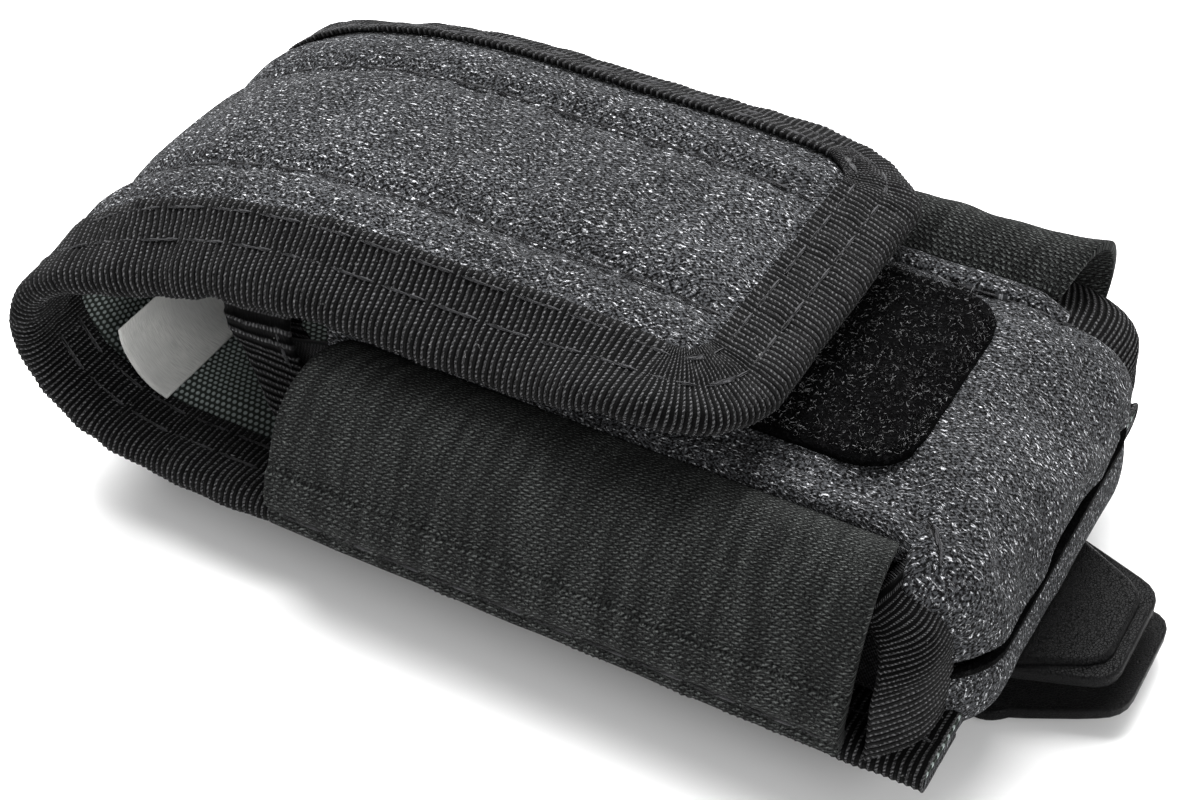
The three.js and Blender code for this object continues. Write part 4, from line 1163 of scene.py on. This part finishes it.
def build_mouth_tape():
    points = mouth_points()
    run = [0.0]
    for a, b in zip(points, points[1:]):
        run.append(run[-1] + math.dist(a, b))

    def line(share):
        where = share * run[-1]
        i = min(max(bisect.bisect_right(run, where) - 1, 0), len(points) - 2)
        part = (where - run[i]) / (run[i + 1] - run[i])
        low, high = max(i - 1, 0), min(i + 2, len(points) - 1)
        length = math.dist(points[low], points[high])
        return (mix(points[i][0], points[i + 1][0], part), mix(points[i][1], points[i + 1][1], part),
                (points[high][0] - points[low][0]) / length, (points[high][1] - points[low][1]) / length)

    def wrap(share, inset, depth):
        """inset back from the mouth's edge, depth from the middle of the tape outwards."""
        y, z, way_y, way_z = line(share)
        x = MOUTH_X + (MOUTH_Z - z) * MOUTH_SLOPE + inset
        rise = (front_height(x) - front_height(MOUTH_X)) * ease(z, MOUTH_Z - MOUTH_SHOULDER, MOUTH_Z)
        return Vector((x, y - way_z * depth, z + way_y * depth + rise))

    def place(u, v, h):
        inset, depth, away_inset, away_depth = tape_profile(v)
        inset *= MOUTH_TAPE_WIDTH / TAPE_WIDTH
        q = u * run[-1]
        rib = RIB_RELIEF * math.cos(2 * math.pi * q / RIB_PITCH) * (1 - h)
        pucker = (0.25 * wobble(q, v * 8, 60, 5) + 0.1 * wobble(q, v * 20, 64, 2.5)) * (1 - h)
        lift = rib + pucker - h * 0.5
        return wrap(u, inset + away_inset * lift, (FOLD_RADIUS - depth) - away_depth * lift)

    tape = cloth_panel("mouth_tape", round(run[-1] / RIB_PITCH * STEPS_PER_RIB), 22, place,
                       lambda u, v: (u * run[-1], v * TAPE_RUN))
    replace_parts(dress(tape, TAPE), "mouth_binding")
    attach(tape, "pouch")

    def row(depth):
        def path(share):
            share = mix(0.01, 0.99, share)
            point = wrap(share, MOUTH_TAPE_WIDTH - 2, depth)
            return point, (point - wrap(share, MOUTH_TAPE_WIDTH - 2, 0)).normalized()
        return path

    sewn = stitches("mouth_stitches", row(FOLD_RADIUS + 0.05), row(-FOLD_RADIUS - 0.05))
    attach(dress(sewn, THREAD), "pouch")


# ---------- closed end ----------
def build_end():
    outer = END_X + 0.2
    width = FRONT_END_HALF_WIDTH + 0.6
    seam = BACK_Z + END_SEAM_RISE - 0.5
    inner = BACK_END_X + 0.3

    def place(u, v, h):
        y = mix(-width, width, u)
        angle = v * math.pi
        middle = (seam + BACK_Z) / 2
        reach = (outer - inner) * math.sin(angle) ** 0.55
        swell = 0.15 * wobble(y, v * 5, 80, 6)
        z = middle + (seam - BACK_Z) / 2 * math.cos(angle)
        x = inner + (reach + swell * math.sin(angle)) * (1 - h)
        return Vector((x - front_fall(FRONT_END - 1, y) * 0.9, y, z))

    roll = cloth_panel("end_roll_cloth", 60, 18, place, lambda u, v: (v * 13, u * 2 * width))
    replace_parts(dress(roll, HEATHER), "end_roll")
    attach(roll, "pouch")

    # painted shade: a flat, nearly black strip deep in the end seam's groove stands for the shadow in the
    # seam
    def place_seam_shade(u, v, h):
        y = mix(-width, width, u)
        x = outer - 0.25 - h * 1.4
        z = seam + 0.1 + mix(-SEAM_SHADE_HALF_WIDTH, SEAM_SHADE_HALF_WIDTH, v)
        return Vector((x - front_fall(FRONT_END - 1, y) * 0.9, y, z))

    seam_shade = cloth_panel("end_seam_shade_strip", 40, 3, place_seam_shade, lambda u, v: (u * 2 * width, v * 3))
    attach(dress(seam_shade, PILE), "pouch")


def build_corners():
    """A wide tape closes each upright corner, from the collar down to the back, and flares outwards."""
    last = FRONT_RUN + END_ARC + END_SEAM_RISE + END_DROP - TAPED + 0.4
    for side, sign in (("near", -1), ("far", 1)):
        first = FRONT_RUN + (2.2 if sign < 0 else -0.6)

        def place(u, v, h):
            s = mix(first, last, u)
            edge = front_half_width(s, sign)
            inner = on_front(s, edge - 0.8, front_fall(s, sign * (edge - 0.8)) + 0.9)
            opens = ease(u, 0, 0.7)
            reach, drop = (edge + 3.5, 3.2) if sign < 0 else (31.5, 1.2)
            back = mix(2.5, 4.2, opens)
            outer = Vector((inner.x - back, mix(reach, 36.6, opens), inner.z - mix(drop, 0.4, opens)))
            rib = 0.12 * math.cos(2 * math.pi * s / CORNER_RIB) * (1 - h)
            wave = 0.3 * wobble(s, v * 6, sign * 21, 5) * (1 - h)
            belly = mix(0.4, 1.9, ease(u, 0, 0.4)) * math.sin(min(v * 1.15, 1) * math.pi)
            curl = 0.9 * ease(v, 0.86, 1) * (1 - h)
            out = Vector((0.72, 0.6, 0.35)) * (belly + rib + wave - curl - h * 1.5)
            spot = inner.lerp(outer, v) + out
            return Vector((spot.x, sign * spot.y, spot.z))

        tape = cloth_panel(f"corner_tape_{side}", 110, 24, place,
                           lambda u, v: (mix(first, last, u), v * 11))
        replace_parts(dress(tape, WIDE_TAPE), f"corner_binding_{side}")
        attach(tape, "pouch")


# ---------- patches and label ----------
def build_patches():
    low, high = corner("loop_patch", 0), corner("loop_patch", 1)

    def half_at(x):
        """Half the patch's width there, narrower in its round corners."""
        into = max(PATCH_CORNER - (high.x - x), 0)
        return high.y - PATCH_CORNER + math.sqrt(max(PATCH_CORNER ** 2 - into ** 2, 0))

    def set_out(u, v):
        x = mix(low.x, high.x, u ** 0.9)
        return x, mix(-1, 1, v) * half_at(x)

    def place(u, v, h):
        x, y = set_out(u, v)
        edge = min(half_at(x) - abs(y), high.x - x)
        top = high.z + 0.25 - 0.9 * ridge(edge, 0, 1.1) + 0.12 * wobble(x, y, 90, 2.2)
        return Vector((x, y, mix(top, low.z - 0.1, h)))

    patch = cloth_panel("loop_base", 110, 62, place, set_out)
    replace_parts(dress(patch, PILE), "loop_patch")
    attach(patch, "pouch")

    random.seed(11)
    bm = bmesh.new()
    bmesh.ops.create_circle(bm, segments=7, radius=MM, cap_ends=False)
    grown = bmesh.ops.extrude_edge_only(bm, edges=bm.edges[:])["geom"]
    for part in grown:
        if isinstance(part, bmesh.types.BMVert):
            part.co.z += LOOP_HEIGHT * MM
    placings = []
    for _ in range(LOOPS):
        x = random.uniform(low.x + 0.6, high.x - 0.3)
        y = random.uniform(-1, 1) * (half_at(x) - 0.3)
        spot = Vector((x, y, high.z + random.uniform(0.05, 0.4)))
        turn = Euler((random.uniform(-0.9, 0.9), random.uniform(-0.9, 0.9), random.uniform(0, math.tau)))
        size = Matrix.Scale(random.uniform(0.3, 0.62), 4)
        placings.append(Matrix.Translation(spot * MM) @ turn.to_matrix().to_4x4() @ size)
    pile = copies("loop_fibres", bm, placings)
    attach(dress(pile, FIBRES), "pouch")

    end = AT_TIP - TAPE_WIDTH - HOOK_MARGIN

    def hook_place(u, v, h):
        s, t = mix(end - HOOK_SIDE, end, u), mix(-HOOK_SIDE / 2, HOOK_SIDE / 2, v)
        return on_strip(s, t, PADDED + 0.05 + (1 - h) * 0.9)

    hook = cloth_panel("hook_base", 40, 40, hook_place, lambda u, v: (u * HOOK_SIDE, v * HOOK_SIDE))
    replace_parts(dress(hook, HOOKS), "hook_patch")
    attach(hook, "flap_front")


def build_label():
    start = AT_FOLD + 6

    def place(u, v, h):
        lean = 5.5 * u ** 1.4 + 0.35 * wobble(u * 12, v * 12, 70, 8)
        s = start + u * LABEL_LENGTH
        across = mix(LABEL_NEAR_EDGE, LABEL_FAR_EDGE, v)
        return on_strip(s, across, PADDED + 0.2 + lean + h * 0.3)

    width = LABEL_FAR_EDGE - LABEL_NEAR_EDGE
    label = cloth_panel("satin_label", 22, 24, place, lambda u, v: (u * LABEL_LENGTH, v * width))
    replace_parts(dress(label, SATIN), "care_label")
    bend_low(label)


# ---------- clip ----------
def bevelled(name, node, width, segments=3):
    """A copy of a CAD node with its facets joined and its edges rounded."""
    bm = bmesh.new()
    bm.from_mesh(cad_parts[node].data)
    bmesh.ops.remove_doubles(bm, verts=bm.verts, dist=1e-6)
    bmesh.ops.dissolve_limit(bm, angle_limit=math.radians(2), verts=bm.verts, edges=bm.edges)
    sharp = [e for e in bm.edges if e.is_manifold and e.calc_face_angle(0) > math.radians(35)]
    bmesh.ops.bevel(bm, geom=sharp, offset=width * MM, segments=segments, profile=0.5,
                    affect="EDGES", material=-1, clamp_overlap=True)
    for face in bm.faces:
        face.smooth = True
    piece = finished(name, bm)
    weighted = piece.modifiers.new("even", "WEIGHTED_NORMAL")
    weighted.keep_sharp = True
    return piece


def leaf_pad():
    """The raised pad on the fixed leaf, inside its rim."""
    rim, start, shoulder = 1.6, 10, 55.6
    side, tip_side = 14.3 - rim, 8.4 - rim * 0.8
    tip, top = corner("clip_inner_leaf", 1).x - rim, corner("clip_inner_leaf", 1).z
    ring = [(start, -side), (shoulder, -side), (tip - 2.2, -tip_side - 0.6),
            (tip - 0.5, -tip_side + 1), (tip, -tip_side + 2.6)]
    ring += [(x, -y) for x, y in reversed(ring)]
    bm = bmesh.new()
    bmesh.ops.create_circle(bm, segments=len(ring), radius=1, cap_ends=True)
    bm.verts.ensure_lookup_table()
    for vert, (x, y) in zip(bm.verts, ring):
        vert.co = Vector((x, y, top - 0.4)) * MM
    grown = bmesh.ops.extrude_face_region(bm, geom=bm.faces[:])["geom"]
    upper = [v for v in grown if isinstance(v, bmesh.types.BMVert)]
    bmesh.ops.translate(bm, verts=upper, vec=(0, 0, 1.3 * MM))
    bmesh.ops.recalc_face_normals(bm, faces=bm.faces[:])
    rims = [e for e in bm.edges if all(v in upper for v in e.verts)]
    bmesh.ops.bevel(bm, geom=rims, offset=0.75 * MM, segments=4, profile=0.5, affect="EDGES", material=-1)
    for face in bm.faces:
        face.smooth = True
    pad = finished("leaf_pad", bm)
    pad.modifiers.new("even", "WEIGHTED_NORMAL")
    return pad


def build_clip():
    outer = dress(bevelled("spring_leaf", "clip_outer_leaf", 0.45), MOULDED)
    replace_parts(outer, "clip_outer_leaf")
    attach(outer, "clip_leaf")
    inner = dress(bevelled("fixed_leaf", "clip_inner_leaf", 0.4), MOULDED)
    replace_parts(inner, "clip_inner_leaf")
    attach(inner, "pouch")
    pad = dress(leaf_pad(), MOULDED)
    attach(pad, "pouch")
    for i in (1, 2):
        band = dress(bevelled(f"keeper_band_{i}", f"clip_keeper_{i}", 0.2, 2), WEBBING)
        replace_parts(band, f"clip_keeper_{i}")
        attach(band, "pouch")


# ---------- camera, light and floor ----------
def build_stage():
    scene = bpy.context.scene
    level = math.cos(CAMERA_RISE)
    away = Vector((math.sin(CAMERA_TURN) * level, -math.cos(CAMERA_TURN) * level, math.sin(CAMERA_RISE)))
    target = Vector((-0.004115, 0, 0.005468 + BACK_Z * MM))
    camera_data = bpy.data.cameras.new("camera")
    camera_data.lens = CAMERA_LENS
    camera_data.sensor_width = 36
    camera_data.clip_start = 0.01
    camera = bpy.data.objects.new("camera", camera_data)
    camera.location = target + away * CAMERA_DISTANCE
    camera.rotation_euler = (-away).to_track_quat("-Z", "Y").to_euler()
    scene.collection.objects.link(camera)
    scene.camera = camera

    bm = bmesh.new()
    bmesh.ops.create_grid(bm, x_segments=1, y_segments=1, size=3)
    floor = finished("floor", bm)
    material, n, shader, _, place = new_material("pale_floor")
    shade = n.ramp(n.noise(place, 3.0, 2.0), 0.3, 0.7)
    shaded(n, shader, n.blend(shade, (0.86, 0.86, 0.86, 1), (0.9, 0.9, 0.9, 1)), 0.8)
    floor.data.materials.append(material)

    lights = (("key", (-0.25, 0.25, 0.8), 0.7, 21.0), ("fill", (0.75, -0.45, 0.5), 0.6, 6.0),
              ("back", (0.0, 0.8, 0.45), 0.6, 6.0))
    for name, where, size, power in lights:
        data = bpy.data.lights.new(name, "AREA")
        data.shape, data.size, data.energy = "SQUARE", size, power
        lamp = bpy.data.objects.new(name, data)
        lamp.location = where
        lamp.rotation_euler = (target - Vector(where)).to_track_quat("-Z", "Y").to_euler()
        scene.collection.objects.link(lamp)
    world = bpy.data.worlds.new("studio")
    scene.world = world
    world.use_nodes = True
    world.node_tree.nodes["Background"].inputs["Color"].default_value = (1, 1, 1, 1)
    world.node_tree.nodes["Background"].inputs["Strength"].default_value = WORLD_LIGHT
    scene.view_settings.view_transform = "Standard"


build_stage()
strip_pads()
strip_linings()
strip_tapes()
strip_stitching()
build_front()
build_lips()
build_elastics()
build_gussets()
build_mouth_tape()
build_end()
build_corners()
build_patches()
build_label()
build_clip()
